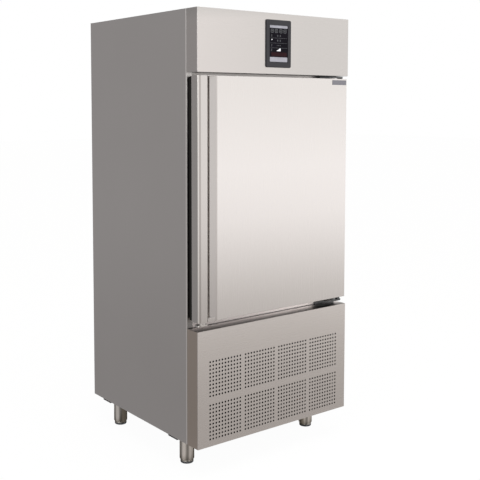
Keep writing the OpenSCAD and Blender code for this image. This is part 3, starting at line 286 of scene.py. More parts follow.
def steel_sheet(name, colour, roughness, brushing, bump=0.02, edge_radius=0.0016, rub=0.4,
                contrast=1.0):
    """Brushed sheet: brushing is the axis, 0 to 2, that the streaks follow."""
    material, tree, shader = new_material(name)
    fine = use_group(tree, grain, Stretch=stretch_along(brushing, FINE_ACROSS, FINE_ALONG),
                     Detail=2.0).outputs["Streaks"]
    broad = use_group(tree, grain, Stretch=stretch_along(brushing, BROAD_ACROSS, BROAD_ALONG),
                      Detail=3.0).outputs["Streaks"]
    slow = use_group(tree, tone, Size=2.6).outputs["Tone"]
    edges = use_group(tree, wear, Radius=edge_radius, Patches=30.0)
    body = blend_colour(tree, remap(tree, fine, 0.25, 0.75), shaded(colour, 1 - 0.03 * contrast),
                        shaded(colour, 1 + 0.025 * contrast))
    body = blend_colour(tree, times(tree, slow, 0.35), body, shaded(colour, 0.95))
    body = blend_colour(tree, times(tree, edges.outputs["Mask"], rub), body, RUBBED_STEEL)
    tree.links.new(body, shader.inputs["Base Color"])
    shader.inputs["Metallic"].default_value = 1.0
    swing = 0.03 * contrast
    gloss = math_node(
        tree, "ADD", remap(tree, fine, 0.2, 0.8, roughness - swing, roughness + swing),
        remap(tree, broad, 0.3, 0.7, -swing / 2, swing / 2))
    tree.links.new(gloss, shader.inputs["Roughness"])
    relief = put(tree, "ShaderNodeBump", {
        "Height": fine, "Normal": edges.outputs["Soft Normal"], "Strength": bump,
        "Distance": 0.0004})
    tree.links.new(relief.outputs[0], shader.inputs["Normal"])
    return material


# %% [markdown]
# Every sheet is this recipe with its own colour, gloss and brushing. The door and the sides are
# brushed up and down, and the header, the top and the vent panel from side to side.

# %% The sheets
door_steel = steel_sheet("door_steel", (0.64, 0.62, 0.61), 0.27, Z_AXIS, bump=0.004,
                         contrast=0.2)
handle_steel = steel_sheet("handle_steel", (0.55, 0.53, 0.52), 0.24, Z_AXIS, bump=0.008,
                           contrast=0.4)
front_steel = steel_sheet("front_steel", (0.57, 0.545, 0.535), 0.28, X_AXIS, bump=0.006,
                          contrast=0.3)
vent_steel = steel_sheet("vent_steel", (0.68, 0.655, 0.64), 0.28, X_AXIS, bump=0.008,
                         edge_radius=0.0003, rub=0.0, contrast=0.4)
side_steel = steel_sheet("side_steel", (0.58, 0.565, 0.56), 0.34, Z_AXIS, bump=0.008,
                         contrast=0.4)
# The top is a darker copy of the sheet: a painted shade that keeps it from turning white under the
# bright sky.
shaded_top_steel = steel_sheet("shaded_top_steel", (0.4, 0.39, 0.385), 0.4, X_AXIS, bump=0.008,
                        contrast=0.4)
liner_steel = steel_sheet("liner_steel", (0.72, 0.72, 0.71), 0.32, Z_AXIS)
leg_steel = steel_sheet("leg_steel", (0.8, 0.765, 0.72), 0.14, Z_AXIS, bump=0.005, rub=0.1)
vent_frame_steel = steel_sheet("vent_frame_steel", (0.49, 0.43, 0.38), 0.3, Z_AXIS, bump=0.01)
wire_steel = steel_sheet("wire_steel", (0.75, 0.75, 0.74), 0.18, Y_AXIS, bump=0.02,
                         edge_radius=0.0005)
badge_metal = steel_sheet("badge_metal", (0.21, 0.21, 0.235), 0.3, X_AXIS, edge_radius=0.0005,
                          contrast=3.0)
print("steel finishes:", [material.name for material in bpy.data.materials])

# %% [markdown]
# ### The header
#
# Some sheets carry painted light or shade in one place, so a finished material is opened again and
# its colour goes through one more blend. The header gets a painted reflection that turns it a
# little darker toward its right and along its top fold, and a painted shadow that makes its
# underside almost black. Two ramps lay on the painted shade, and the normal's Z finds the
# underside.

# %% Header tones
# A painted reflection darkens the header, and a painted shadow blackens its underside.
HEADER_PAINTED_SHADE, HEADER_UNDERSIDE_SHADOW = (0.505, 0.49, 0.48), (0.06, 0.055, 0.055)
HEADER_SHADE_ACROSS, HEADER_SHADE_UP = (-0.4, 0.15), (1.77, 1.81)


def reopen(material):
    """A finished material's tree, its colour socket, and the colour that it has so far."""
    tree = material.node_tree
    socket = tree.nodes["Principled BSDF"].inputs["Base Color"]
    return tree, socket, socket.links[0].from_socket


tree, coloured, base = reopen(front_steel)
at = axes(tree, object_place(tree))
painted_shade_ramp = math_node(tree, "MAXIMUM", remap(tree, at["X"], *HEADER_SHADE_ACROSS),
                 remap(tree, at["Z"], *HEADER_SHADE_UP))
header_with_shade = blend_colour(tree, painted_shade_ramp, base, HEADER_PAINTED_SHADE)
underside = remap(tree, axes(tree, surface_way(tree))["Z"], -0.5, -0.8)
tree.links.new(blend_colour(tree, underside, header_with_shade, HEADER_UNDERSIDE_SHADOW), coloured)
print("header tones:", HEADER_PAINTED_SHADE, HEADER_UNDERSIDE_SHADOW)

# %% [markdown]
# ### The door's sheet
#
# The middle of the door carries a painted highlight, so it is brighter than its ends. The mask is
# the height's distance from the middle, so the tone changes slowly both ways.

# %% Door tone
DOOR_PAINTED_HIGHLIGHT = (0.705, 0.685, 0.68)
DOOR_MIDDLE = 1.1
GLOW_ENDS, GLOW_GONE = 0.1, 0.42

tree, coloured, base = reopen(door_steel)
height = axes(tree, object_place(tree))["Z"]
from_middle = math_node(tree, "ABSOLUTE", math_node(tree, "SUBTRACT", height, DOOR_MIDDLE))
away = remap(tree, from_middle, GLOW_ENDS, GLOW_GONE)
tree.links.new(blend_colour(tree, away, DOOR_PAINTED_HIGHLIGHT, base), coloured)
print("the door is brightest at z =", DOOR_MIDDLE)

# %% [markdown]
# ### The sill under the door
#
# The upper face of the vent panel's frame shows as a band under the door. Painted light makes it
# brighter to the right and a painted shadow darkens it toward its front edge, so one ramp follows X
# and one follows Y.

# %% Sill tones
SILL_LIGHT_LEFT, SILL_LIGHT_RIGHT, SILL_EDGE_SHADOW = (0.5, 0.465, 0.46), (0.95, 0.9, 0.88), (0.13, 0.12, 0.115)
SILL_ACROSS, SILL_DEPTHS = (-0.35, 0.2), (0.055, 0.012)
sill_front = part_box("vent_panel_frame")[0].y

tree, coloured, base = reopen(vent_frame_steel)
at = axes(tree, object_place(tree))
sill = blend_colour(tree, remap(tree, at["X"], *SILL_ACROSS), SILL_LIGHT_LEFT, SILL_LIGHT_RIGHT)
depth = math_node(tree, "SUBTRACT", at["Y"], sill_front)
sill = blend_colour(tree, remap(tree, depth, *SILL_DEPTHS), sill, SILL_EDGE_SHADOW)
faces_up = remap(tree, axes(tree, surface_way(tree))["Z"], 0.5, 0.8)
tree.links.new(blend_colour(tree, faces_up, base, sill), coloured)
print("the sill's front edge is at y =", round(sill_front, 4))

# %% [markdown]
# ### The side panels' front fold
#
# Each side panel is folded inward at the front. The fold's outer side gets a painted highlight as a
# bright line, its front a painted shade that leaves it dull, and the inner lip a painted shadow low
# down and painted light at the header. The distance from the cabinet's middle tells the line and
# the lip apart.

# %% Side fold tones
SIDE_SKIN = 0.3985
FOLD_DEPTHS, HIGH_UP = (0.0075, 0.0045), (1.2, 1.5)
FOLD_LINE_HIGHLIGHT, FOLD_FRONT_SHADE = (1.0, 0.97, 0.95), (0.36, 0.35, 0.345)
LIP_SHADOW_LOW, LIP_LIGHT_HIGH = (0.3, 0.29, 0.285), (0.75, 0.73, 0.72)
fold_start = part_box("left_side_panel")[0].y

tree, coloured, base = reopen(side_steel)
at = axes(tree, object_place(tree))
from_centre = math_node(tree, "ABSOLUTE", at["X"])
depth = math_node(tree, "SUBTRACT", at["Y"], fold_start)
fold = times(tree, remap(tree, depth, *FOLD_DEPTHS),
             math_node(tree, "GREATER_THAN", from_centre, SIDE_SKIN))
sideways = math_node(tree, "ABSOLUTE", axes(tree, surface_way(tree))["X"])
fold_painted_light = blend_colour(tree, remap(tree, sideways, 0.9, 0.98), FOLD_FRONT_SHADE, FOLD_LINE_HIGHLIGHT)
outer = blend_colour(tree, fold, base, fold_painted_light)
lip = blend_colour(tree, remap(tree, at["Z"], *HIGH_UP), LIP_SHADOW_LOW, LIP_LIGHT_HIGH)
inside = math_node(tree, "LESS_THAN", from_centre, SIDE_SKIN)
tree.links.new(blend_colour(tree, inside, outer, lip), coloured)
print("the side panels fold at y =", round(fold_start, 4))

# %% [markdown]
# ### The handle
#
# The handle is folded from the door's sheet: a rounded corner with a painted highlight on the fold
# and a painted shade in a soft crease, the finger pocket with painted light on its floor, and a
# slope that ends in a painted dark line. All run the door's full height, so each is a band across
# X, measured from the corner, and the pocket's floor is found by its depth.

# %% Handle tones
CREASE_SHADE, HANDLE_FOLD_HIGHLIGHT = (0.3, 0.28, 0.27), (0.7, 0.68, 0.66)
POCKET_PAINTED_LIGHT = (0.95, 0.91, 0.88)
CREASE_START, CREASE_END = (0.005, 0.0064), (0.016, 0.0125)
SLOPE_FOOT, SLOPE_END = (0.085, 0.087), (0.092, 0.0905)
FOLD_END, POCKET_START, POCKET_FLOOR = (0.0058, 0.0046), 0.03, (0.016, 0.019)
handle_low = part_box("handle_profile")[0]

tree, coloured, base = reopen(handle_steel)
at = axes(tree, object_place(tree))
across = math_node(tree, "SUBTRACT", at["X"], handle_low.x)
depth = math_node(tree, "SUBTRACT", at["Y"], handle_low.y)
crease = times(tree, remap(tree, across, *CREASE_START, 0.0, 0.7),
               remap(tree, across, *CREASE_END))
shade = blend_colour(tree, crease, base, CREASE_SHADE)
slope_foot_shade = times(tree, remap(tree, across, *SLOPE_FOOT, 0.0, 0.2),
                   remap(tree, across, *SLOPE_END))
shade = blend_colour(tree, slope_foot_shade, shade, CREASE_SHADE)
fold_highlight_mask = times(tree, remap(tree, across, *FOLD_END),
                    remap(tree, axes(tree, surface_way(tree))["Y"], -0.3, -0.6))
shade = blend_colour(tree, fold_highlight_mask, shade, HANDLE_FOLD_HIGHLIGHT)
pocket = times(tree, remap(tree, depth, *POCKET_FLOOR),
               math_node(tree, "GREATER_THAN", across, POCKET_START))
tree.links.new(blend_colour(tree, pocket, shade, POCKET_PAINTED_LIGHT), coloured)
print("the door's corner starts at x =", round(handle_low.x, 4))

# %% [markdown]
# ### The legs
#
# The leg tubes are polished brighter than the sheets, and a polished tube breaks a room up into
# upright bands, which are painted here as a reflection in the tube's colour. The bands follow the
# angle around the tube: the normal's X and Y give the angle, and a cosine turns it into six dark
# and six light bands. A second, single wave paints the light bands duller on the side away from the
# lamps.

# %% Bands on the leg tubes
BANDS = 6
FIRST_DARK = math.radians(-120)
BRIGHTEST = math.radians(-150)
DARK_REFLECTION_BAND, DULL_REFLECTION_BAND, LIGHT_REFLECTION_BAND = (0.33, 0.315, 0.29), (0.6, 0.575, 0.54), (0.99, 0.95, 0.895)

tree, coloured, base = reopen(leg_steel)
way = axes(tree, surface_way(tree))
around = math_node(tree, "ARCTAN2", way["Y"], way["X"])
wave = math_node(tree, "COSINE",
                 times(tree, math_node(tree, "SUBTRACT", around, FIRST_DARK), float(BANDS)))
toward_lamps = math_node(tree, "COSINE", math_node(tree, "SUBTRACT", around, BRIGHTEST))
light = blend_colour(tree, remap(tree, toward_lamps, 0.4, 0.95), DULL_REFLECTION_BAND, LIGHT_REFLECTION_BAND)
banded = blend_colour(tree, remap(tree, wave, 0.2, -0.9), base, light)
tree.links.new(blend_colour(tree, remap(tree, wave, -0.2, 1.0), banded, DARK_REFLECTION_BAND), coloured)
print("bands around each leg tube:", BANDS)

# %% [markdown]
# ## Paint, plastic, rubber and the rest
#
# The inner pieces have plainer finishes, but none is one flat colour: paint has an orange-peel
# skin, moulded plastic a fine texture, and foam its cells. One recipe makes them all: a finish
# chooses its colour, its gloss, and how fine and deep its skin is.

# %% Coated recipe
COAT_RUB = 0.55
DUST_COLOUR = (0.42, 0.4, 0.37)


def coated(name, colour, roughness, texture, height, metallic=0.0, dusty=0.25, worn=None,
           shine=0.5):
    """A skin with a fine noise texture of a given scale, dust on top, and rubbed edges."""
    material, tree, shader = new_material(name)
    skin = noise(tree, texture, 3.0)
    slow = use_group(tree, tone, Size=7.0).outputs["Tone"]
    edges = use_group(tree, wear, Radius=0.001, Patches=90.0)
    lying = use_group(tree, dust, Amount=dusty).outputs["Mask"]
    body = blend_colour(tree, slow, shaded(colour, 0.88), shaded(colour, 1.08))
    body = blend_colour(tree, times(tree, edges.outputs["Mask"], COAT_RUB), body,
                        worn or [min(1, c * 1.8 + 0.03) for c in colour])
    body = blend_colour(tree, lying, body, DUST_COLOUR)
    tree.links.new(body, shader.inputs["Base Color"])
    shader.inputs["Metallic"].default_value = metallic
    shader.inputs["Specular IOR Level"].default_value = shine
    gloss = math_node(tree, "ADD",
                      remap(tree, skin, 0.3, 0.7, roughness - 0.06, roughness + 0.06),
                      times(tree, lying, 0.4), clamp=True)
    tree.links.new(gloss, shader.inputs["Roughness"])
    relief = put(tree, "ShaderNodeBump", {
        "Height": skin, "Strength": 0.3, "Normal": edges.outputs["Soft Normal"],
        "Distance": height})
    tree.links.new(relief.outputs[0], shader.inputs["Normal"])
    return material


# %% Dark metals and paints
# The mouth frame's dark colour is a painted shadow for the gap round the door.
frame_shadow_steel = coated("frame_shadow_steel", (0.24, 0.218, 0.215), 0.34, 700.0, 0.0001, metallic=0.9,
                      dusty=0.05)
dark_zinc = coated("dark_zinc", (0.12, 0.125, 0.13), 0.32, 300.0, 0.0001, metallic=1.0,
                   dusty=0.05)
pan_zinc = coated("pan_zinc", (0.06, 0.06, 0.062), 0.45, 300.0, 0.0001, metallic=1.0,
                  dusty=0.05)
black_paint = coated("black_paint", (0.02, 0.02, 0.022), 0.22, 260.0, 0.0003)
dark_paint = coated("dark_paint", (0.06, 0.062, 0.067), 0.4, 350.0, 0.0002)
plate_paint = coated("plate_paint", (0.022, 0.022, 0.024), 0.45, 350.0, 0.0002, shine=0.2)
fan_paint = coated("fan_paint", (0.05, 0.052, 0.058), 0.35, 300.0, 0.0002, metallic=0.2)
print("metals and paints up to", fan_paint.name)

# %% Plastics, rubber and foam
black_plastic = coated("black_plastic", (0.009, 0.0085, 0.0075), 0.5, 900.0, 0.0002, shine=0.1)
dark_plastic = coated("dark_plastic", (0.09, 0.095, 0.105), 0.45, 700.0, 0.0002)
bezel_plastic = coated("bezel_plastic", (0.022, 0.022, 0.027), 0.4, 500.0, 0.00005, dusty=0.05,
                       shine=0.3)
rubber = coated("rubber", (0.011, 0.011, 0.012), 0.62, 1500.0, 0.0003, worn=(0.03, 0.03, 0.03),
                shine=0.2)
board_green = coated("board_green", (0.02, 0.11, 0.05), 0.35, 400.0, 0.0001, dusty=0.1)
foam = coated("foam", (0.72, 0.6, 0.32), 0.85, 420.0, 0.0012, worn=(0.5, 0.4, 0.2))
print("plastics, rubber and foam up to", foam.name)

# %% [markdown]
# ### The frame round the mouth
#
# This frame's dark colour is a painted shadow, and it shows as a dark line round the door. Below
# the door painted light makes it a bright sill that gets brighter to the right, and by the header
# painted light makes it lighter again, so two ramps on Z choose the tone.

# %% Mouth frame tones
MOUTH_SILL_LIGHT_LEFT, MOUTH_SILL_LIGHT_RIGHT = (0.62, 0.58, 0.575), (1.0, 0.95, 0.94)
MOUTH_TOP_LIGHT = (0.52, 0.5, 0.49)
MOUTH_SILL_TOP, MOUTH_ACROSS = 0.62, (-0.35, 0.1)

tree, coloured, base = reopen(frame_shadow_steel)
at = axes(tree, object_place(tree))
sill = blend_colour(tree, remap(tree, at["X"], *MOUTH_ACROSS), MOUTH_SILL_LIGHT_LEFT, MOUTH_SILL_LIGHT_RIGHT)
shade = blend_colour(tree, math_node(tree, "LESS_THAN", at["Z"], MOUTH_SILL_TOP), base, sill)
tree.links.new(blend_colour(tree, remap(tree, at["Z"], *HIGH_UP), shade, MOUTH_TOP_LIGHT), coloured)
print("the mouth's sill ends at z =", MOUTH_SILL_TOP)

# %% [markdown]
# ### Galvanised sheet
#
# The back and the machine room's sheets are zinc coated, and zinc freezes in flat crystals. A
# Voronoi texture has such cells, and the colour of each cell sets its tone and its gloss.

# %% Galvanised sheet
CRYSTAL_DARK, CRYSTAL_LIGHT = (0.5, 0.51, 0.52), (0.62, 0.63, 0.64)
ZINC_DUST = (0.45, 0.43, 0.4)

galvanised, tree, shader = new_material("galvanised")
crystals = put(tree, "ShaderNodeTexVoronoi", {
    "Vector": object_place(tree), "Scale": 70.0, "Randomness": 1.0})
flake = put(tree, "ShaderNodeSeparateColor", {0: crystals.outputs["Color"]}).outputs["Red"]
lying = use_group(tree, dust, Amount=0.35).outputs["Mask"]
edges = use_group(tree, wear, Radius=0.0012, Patches=50.0)
body = blend_colour(tree, lying, blend_colour(tree, flake, CRYSTAL_DARK, CRYSTAL_LIGHT), ZINC_DUST)
tree.links.new(body, shader.inputs["Base Color"])
tree.links.new(remap(tree, lying, 0.0, 1.0, 0.9, 0.2), shader.inputs["Metallic"])
tree.links.new(remap(tree, flake, 0.0, 1.0, 0.36, 0.46), shader.inputs["Roughness"])
tree.links.new(edges.outputs["Soft Normal"], shader.inputs["Normal"])
print("made:", galvanised.name)

# %% [markdown]
# ### Copper tube
#
# The pipes are drawn copper that darkens where it was brazed. The slow tone moves the colour from
# bright to brown, and makes the brown parts duller.

# %% Copper tube
COPPER_BRIGHT, COPPER_BROWN = (0.62, 0.27, 0.16), (0.36, 0.15, 0.085)

copper, tree, shader = new_material("copper")
slow = use_group(tree, tone, Size=16.0).outputs["Tone"]
fine = use_group(tree, grain, Stretch=(900.0, 900.0, 900.0), Detail=2.0).outputs["Streaks"]
tree.links.new(blend_colour(tree, slow, COPPER_BRIGHT, COPPER_BROWN), shader.inputs["Base Color"])
shader.inputs["Metallic"].default_value = 1.0
tree.links.new(remap(tree, math_node(tree, "ADD", slow, fine), 0.3, 1.5, 0.22, 0.48),
               shader.inputs["Roughness"])
print("made:", copper.name)

# %% [markdown]
# ### Coils
#
# A coil is aluminium fins on copper tubes, and both are one node. The return bends stand out past
# the end plates, so a mask along X tells the two metals apart. The condenser's fins are black.

# %% Coil finishes
BEND_TONES = ((0.6, 0.27, 0.16), (0.4, 0.17, 0.1))
COIL_DUST = (0.4, 0.39, 0.37)


def coil_finish(name, node, bend, bright, dull):
    """Fins between a coil's end plates, and copper where the bends stand past them."""
    low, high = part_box(node)
    material, tree, shader = new_material(name)
    x = axes(tree, object_place(tree))["X"]
    outside = math_node(tree, "MAXIMUM", math_node(tree, "LESS_THAN", x, low.x + bend),
                        math_node(tree, "GREATER_THAN", x, high.x - bend))
    slow = use_group(tree, tone, Size=20.0).outputs["Tone"]
    lying = use_group(tree, dust, Amount=0.3).outputs["Mask"]
    body = blend_colour(tree, outside, blend_colour(tree, slow, bright, dull),
                        blend_colour(tree, slow, *BEND_TONES))
    tree.links.new(blend_colour(tree, lying, body, COIL_DUST), shader.inputs["Base Color"])
    shader.inputs["Metallic"].default_value = 1.0
    tree.links.new(remap(tree, slow, 0.0, 1.0, 0.28, 0.42), shader.inputs["Roughness"])
    return material


evaporator_metals = coil_finish("evaporator_metals", "evaporator_coil", 0.041,
                                (0.72, 0.73, 0.74), (0.62, 0.63, 0.64))
condenser_metals = coil_finish("condenser_metals", "condenser_coil", 0.027,
                               (0.035, 0.035, 0.037), (0.02, 0.02, 0.021))
print("made:", evaporator_metals.name, "and", condenser_metals.name)

# %% [markdown]
# ### The screen's glass
#
# The controller is one dark pane. It is smooth and reflects little, so the lit page stays clear.

# %% Screen glass
GLASS_TONES = ((0.003, 0.0025, 0.005), (0.005, 0.004, 0.008))

screen_glass, tree, shader = new_material("screen_glass")
slow = use_group(tree, tone, Size=30.0).outputs["Tone"]
tree.links.new(blend_colour(tree, slow, *GLASS_TONES), shader.inputs["Base Color"])
tree.links.new(remap(tree, slow, 0.0, 1.0, 0.04, 0.1), shader.inputs["Roughness"])
shader.inputs["Specular IOR Level"].default_value = 0.06
print("made:", screen_glass.name)

# %% [markdown]
# ## Which finish goes on which node
#
# The frame's nodes keep their meshes. Each gets one finish in its material slots.

# %% Dress the nodes
FINISHES = {
    side_steel: ["left_side_panel", "right_side_panel"],
    shaded_top_steel: ["top_panel"],
    front_steel: ["header_panel"],
    vent_steel: ["vent_panel"],
    vent_frame_steel: ["vent_panel_frame"],
    door_steel: ["door_skin"],
    handle_steel: ["handle_profile", "handle_end_caps"],
    liner_steel: ["chamber_liner", "fan_baffle", "door_liner"],
    frame_shadow_steel: ["front_frame"],
    dark_zinc: ["top_hinge_bracket", "bottom_hinge_bracket"],
    pan_zinc: ["base_pan"],
    wire_steel: ["fan_guards", "left_tray_rack", "right_tray_rack"],
    leg_steel: ["leg_tubes", "adjuster_front_left", "adjuster_front_right",
                "adjuster_rear_left", "adjuster_rear_right"],
    galvanised: ["back_panel", "control_box", "rear_grille", "condenser_shroud",
                 "panel_screws"],
    foam: ["tank_foam", "door_foam"],
    plate_paint: ["foot_plates"],
    dark_paint: ["door_magnet"],
    bezel_plastic: ["controller_bezel"],
    screen_glass: ["controller_glass"],
    board_green: ["circuit_boards"],
    black_plastic: ["door_switch", "cable_gland", "door_profile", "hinge_bushes"],
    dark_plastic: ["terminal_cover", "drain_pipe", "condensate_tray"],
    rubber: ["door_gasket", "compressor_grommets"],
    black_paint: ["compressor", "condenser_motor", "evaporator_motors", "liquid_receiver"],
    fan_paint: ["condenser_fan", "upper_evaporator_fan", "lower_evaporator_fan"],
    copper: ["filter_drier", "discharge_line", "condenser_line", "liquid_line", "suction_line"],
    badge_metal: ["door_badge"],
    evaporator_metals: ["evaporator_coil"],
    condenser_metals: ["condenser_coil"],
}


def paint(obj, material):
    """Puts one material on the whole object."""
    obj.data.materials.clear()
    obj.data.materials.append(material)


for material, names in FINISHES.items():
    for name in names:
        paint(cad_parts[name], material)
plain = sorted(set(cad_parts) - {name for names in FINISHES.values() for name in names})
print("nodes without a finish:", plain)

# %% [markdown]
# ## The studio
#
# A steel front shows what stands before it. The floor is a wide pale sheet. The lens sees it almost
# white, and the steel sees it greyer near the cabinet and to the left, and dark underneath, where
# the cabinet's shadow is painted. The Light Path node tells a ray from the lens and a mirrored ray
# apart.

# %% Floor
bpy.ops.object.select_all(action="DESELECT")
bpy.ops.mesh.primitive_plane_add(size=60.0, location=(0.0, 0.0, 0.0))
floor = bpy.context.object
floor.name = "studio_floor"
print("the floor lies at z =", floor.location.z)

# %% What the steel sees of the floor
FRONT_WAY = (0.62, -0.78, 0.0)
NEAR_TONES = ((0.51, 0.475, 0.45), (0.61, 0.57, 0.54))
FAR_TONE = (1.3, 1.26, 1.23)
LEFT_TONES = ((0.37, 0.355, 0.35), (0.43, 0.415, 0.41))
UNDER_CABINET_SHADOW = (0.13, 0.115, 0.095)
UNDER_SCALE, UNDER_SHIFT = (2.5, 2.6, 0.0), (0.0, -0.2, 0.0)
NEAR_REACH, FAR_REACH, LEFT_REACH = (0.6, 2.2), (2.0, 7.0), (1.5, 6.0)

floor_paint, tree, shader = new_material("floor_paint")
place = object_place(tree)
far = put(tree, "ShaderNodeVectorMath", {0: place}, operation="LENGTH").outputs["Value"]
floor_tone = blend_colour(tree, remap(tree, far, *NEAR_REACH), *NEAR_TONES)
floor_tone = blend_colour(tree, remap(tree, far, *FAR_REACH), floor_tone, FAR_TONE)
aside = put(tree, "ShaderNodeVectorMath", {0: place, 1: FRONT_WAY},
            operation="DOT_PRODUCT").outputs["Value"]
left_tone = blend_colour(tree, remap(tree, far, *LEFT_REACH), *LEFT_TONES)
to_front = remap(tree, math_node(tree, "DIVIDE", aside, far), -0.6, 0.5)
floor_tone = blend_colour(tree, to_front, left_tone, floor_tone)
# A painted shadow under the cabinet's footprint, as the steel sees the floor.
footprint = put(tree, "ShaderNodeVectorMath", {0: place, 1: UNDER_SCALE, 2: UNDER_SHIFT},
                operation="MULTIPLY_ADD").outputs[0]
footprint = axes(tree, put(tree, "ShaderNodeVectorMath", {0: footprint},
                           operation="ABSOLUTE").outputs[0])
under = remap(tree, math_node(tree, "MAXIMUM", footprint["X"], footprint["Y"]), 1.1, 0.9)
floor_tone = blend_colour(tree, under, floor_tone, UNDER_CABINET_SHADOW)
print("the steel sees:", *NEAR_TONES, FAR_TONE)

# %% What the lens sees of the floor
LENS_WHITE = 0.97

mirror_glow = put(tree, "ShaderNodeEmission", {"Color": floor_tone})
lens_glow = put(tree, "ShaderNodeEmission", {"Color": (1.0, 1.0, 1.0, 1.0)})
shader.inputs["Base Color"].default_value = (0.93, 0.93, 0.92, 1.0)
shader.inputs["Roughness"].default_value = 0.9
shader.inputs["Specular IOR Level"].default_value = 0.1
light_path = put(tree, "ShaderNodeLightPath").outputs
shown = put(tree, "ShaderNodeMixShader", {
    0: times(tree, light_path["Is Camera Ray"], LENS_WHITE),
    1: shader.outputs[0], 2: lens_glow.outputs[0]})
mirrored = put(tree, "ShaderNodeMixShader", {
    0: light_path["Is Glossy Ray"], 1: shown.outputs[0], 2: mirror_glow.outputs[0]})
tree.links.new(mirrored.outputs[0], tree.nodes["Material Output"].inputs["Surface"])
paint(floor, floor_paint)
print("floor painted:", floor_paint.name)

# %% [markdown]
# The sky is white toward the front right and greyer behind the left side, which keeps the side
# panel darker than the front. Two large square lamps, one overhead and one on the left, add soft
# shadows without a hard edge.

# %% Sky
LIGHT_WAY = Vector((0.62, -0.78, 0.08)).normalized()
SKY_GREY, SKY_BRIGHT = (0.42, 0.405, 0.4), (1.32, 1.29, 1.26)

world = bpy.data.worlds.new("studio")
bpy.context.scene.world = world
world.use_nodes = True
sky = world.node_tree
sky.nodes.clear()
ray = put(sky, "ShaderNodeTexCoord").outputs["Generated"]
facing = put(sky, "ShaderNodeVectorMath", {0: ray, 1: LIGHT_WAY},
             operation="DOT_PRODUCT").outputs["Value"]
studio = blend_colour(sky, remap(sky, facing, -0.6, 0.75), SKY_GREY, SKY_BRIGHT)
seen = put(sky, "ShaderNodeLightPath").outputs["Is Camera Ray"]
shown = blend_colour(sky, seen, studio, (1.0, 1.0, 1.0))
background = put(sky, "ShaderNodeBackground", {"Color": shown, "Strength": 1.0})
put(sky, "ShaderNodeOutputWorld", {"Surface": background.outputs[0]})
bpy.context.scene.view_settings.view_transform = "Standard"
print("sky:", world.name)


# %% Lamps
def softbox(name, place, target, size, power):
    """A square area lamp that faces a point."""
    data = bpy.data.lights.new(name, "AREA")
    data.size = size
    data.energy = power
    lamp = bpy.data.objects.new(name, data)
    bpy.context.scene.collection.objects.link(lamp)
    lamp.location = place
    way = Vector(target) - Vector(place)
    lamp.rotation_euler = way.to_track_quat("-Z", "Y").to_euler()


softbox("overhead_softbox", place=(-0.6, -1.2, 4.2), target=(0.0, 0.0, 0.6), size=3.0, power=90.0)
softbox("left_softbox", place=(-3.6, -1.6, 2.6), target=(0.0, 0.0, 0.9), size=2.0, power=22.0)

# %% [markdown]
# ## Modelling helpers
#
# Every new piece starts from a primitive and is shaped by the same operators as by hand. An
# operator works on all that is selected, so each piece begins with nothing selected, and faces and
# points are picked in code by where they are.

# %% Selecting and extruding
def deselect():
    """Leaves no object selected."""
    bpy.ops.object.select_all(action="DESELECT")


def edit(mode="FACE"):
    """Opens the active object for editing, with everything selected."""
    bpy.ops.object.mode_set(mode="EDIT")
    bpy.ops.mesh.select_mode(type=mode)
    bpy.ops.mesh.select_all(action="SELECT")


def pick(test):
    """Selects the faces of the active object that pass a test, and counts them."""
    bpy.ops.mesh.select_mode(type="FACE")
    bpy.ops.mesh.select_all(action="DESELECT")
    bpy.ops.object.mode_set(mode="OBJECT")
    chosen = [face for face in bpy.context.object.data.polygons if test(face)]
    for face in chosen:
        face.select = True
    bpy.ops.object.mode_set(mode="EDIT")
    return len(chosen)


def push(way):
    """Extrudes what is selected by a vector."""
    bpy.ops.mesh.extrude_region_move(TRANSFORM_OT_translate={"value": way})


# %% [markdown]
# A finished piece has no double points, its faces point outward, and its place is in its mesh, so
# that its object sits at the origin like the frame's nodes. Then it rides on a body and takes the
# slot that names its material.

# %% Finishing a piece
def finish_piece(name, body, material, smooth=True, slope=math.radians(35)):
    """Cleans and names the active object, fixes its place in its mesh, and rides it on a body."""
    piece = bpy.context.object
    bpy.ops.object.mode_set(mode="EDIT")
    bpy.ops.mesh.select_all(action="SELECT")
    bpy.ops.mesh.remove_doubles(threshold=0.00001)
    bpy.ops.mesh.normals_make_consistent(inside=False)
    bpy.ops.object.mode_set(mode="OBJECT")
    bpy.ops.object.transform_apply(location=True, rotation=True, scale=True)
    piece.name = name
    piece.data.name = name
    if smooth:
        bpy.ops.object.shade_smooth_by_angle(angle=slope)
    paint(piece, material)
    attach(piece, body)
    low, high = (Vector([f(v.co[i] for v in piece.data.vertices) for i in range(3)])
                 for f in (min, max))
    print(name, "faces", len(piece.data.polygons), "from", [round(c, 4) for c in low],
          "to", [round(c, 4) for c in high])
    return piece


def join(parts):
    """Joins objects into the first of them, which becomes active."""
    deselect()
    for part in parts:
        part.select_set(True)
    bpy.context.view_layer.objects.active = parts[0]
    bpy.ops.object.join()


# %% [markdown]
# ## The touch screen's picture
#
# The controller shows a lit page: a pale bar at the top and at the bottom, a row of four outlined
# buttons, thin rules between the lines, pairs of dots, a rising wedge, and a dark red field. It
# could be one image, but a drawing made of thin raised tiles stays sharp from any side and carries
# no lettering. Each tile is a plane with its corners beveled, hollowed by an inset where it is an
# outline, and extruded by a fraction of a millimetre.

# %% Screen tile
MM = 0.001
TILE_HEIGHT = 0.0003
TILE_LIFT = 0.00002
glass_low, glass_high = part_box("controller_glass")
screen = Vector(((glass_low.x + glass_high.x) / 2, glass_low.y, (glass_low.z + glass_high.z) / 2))


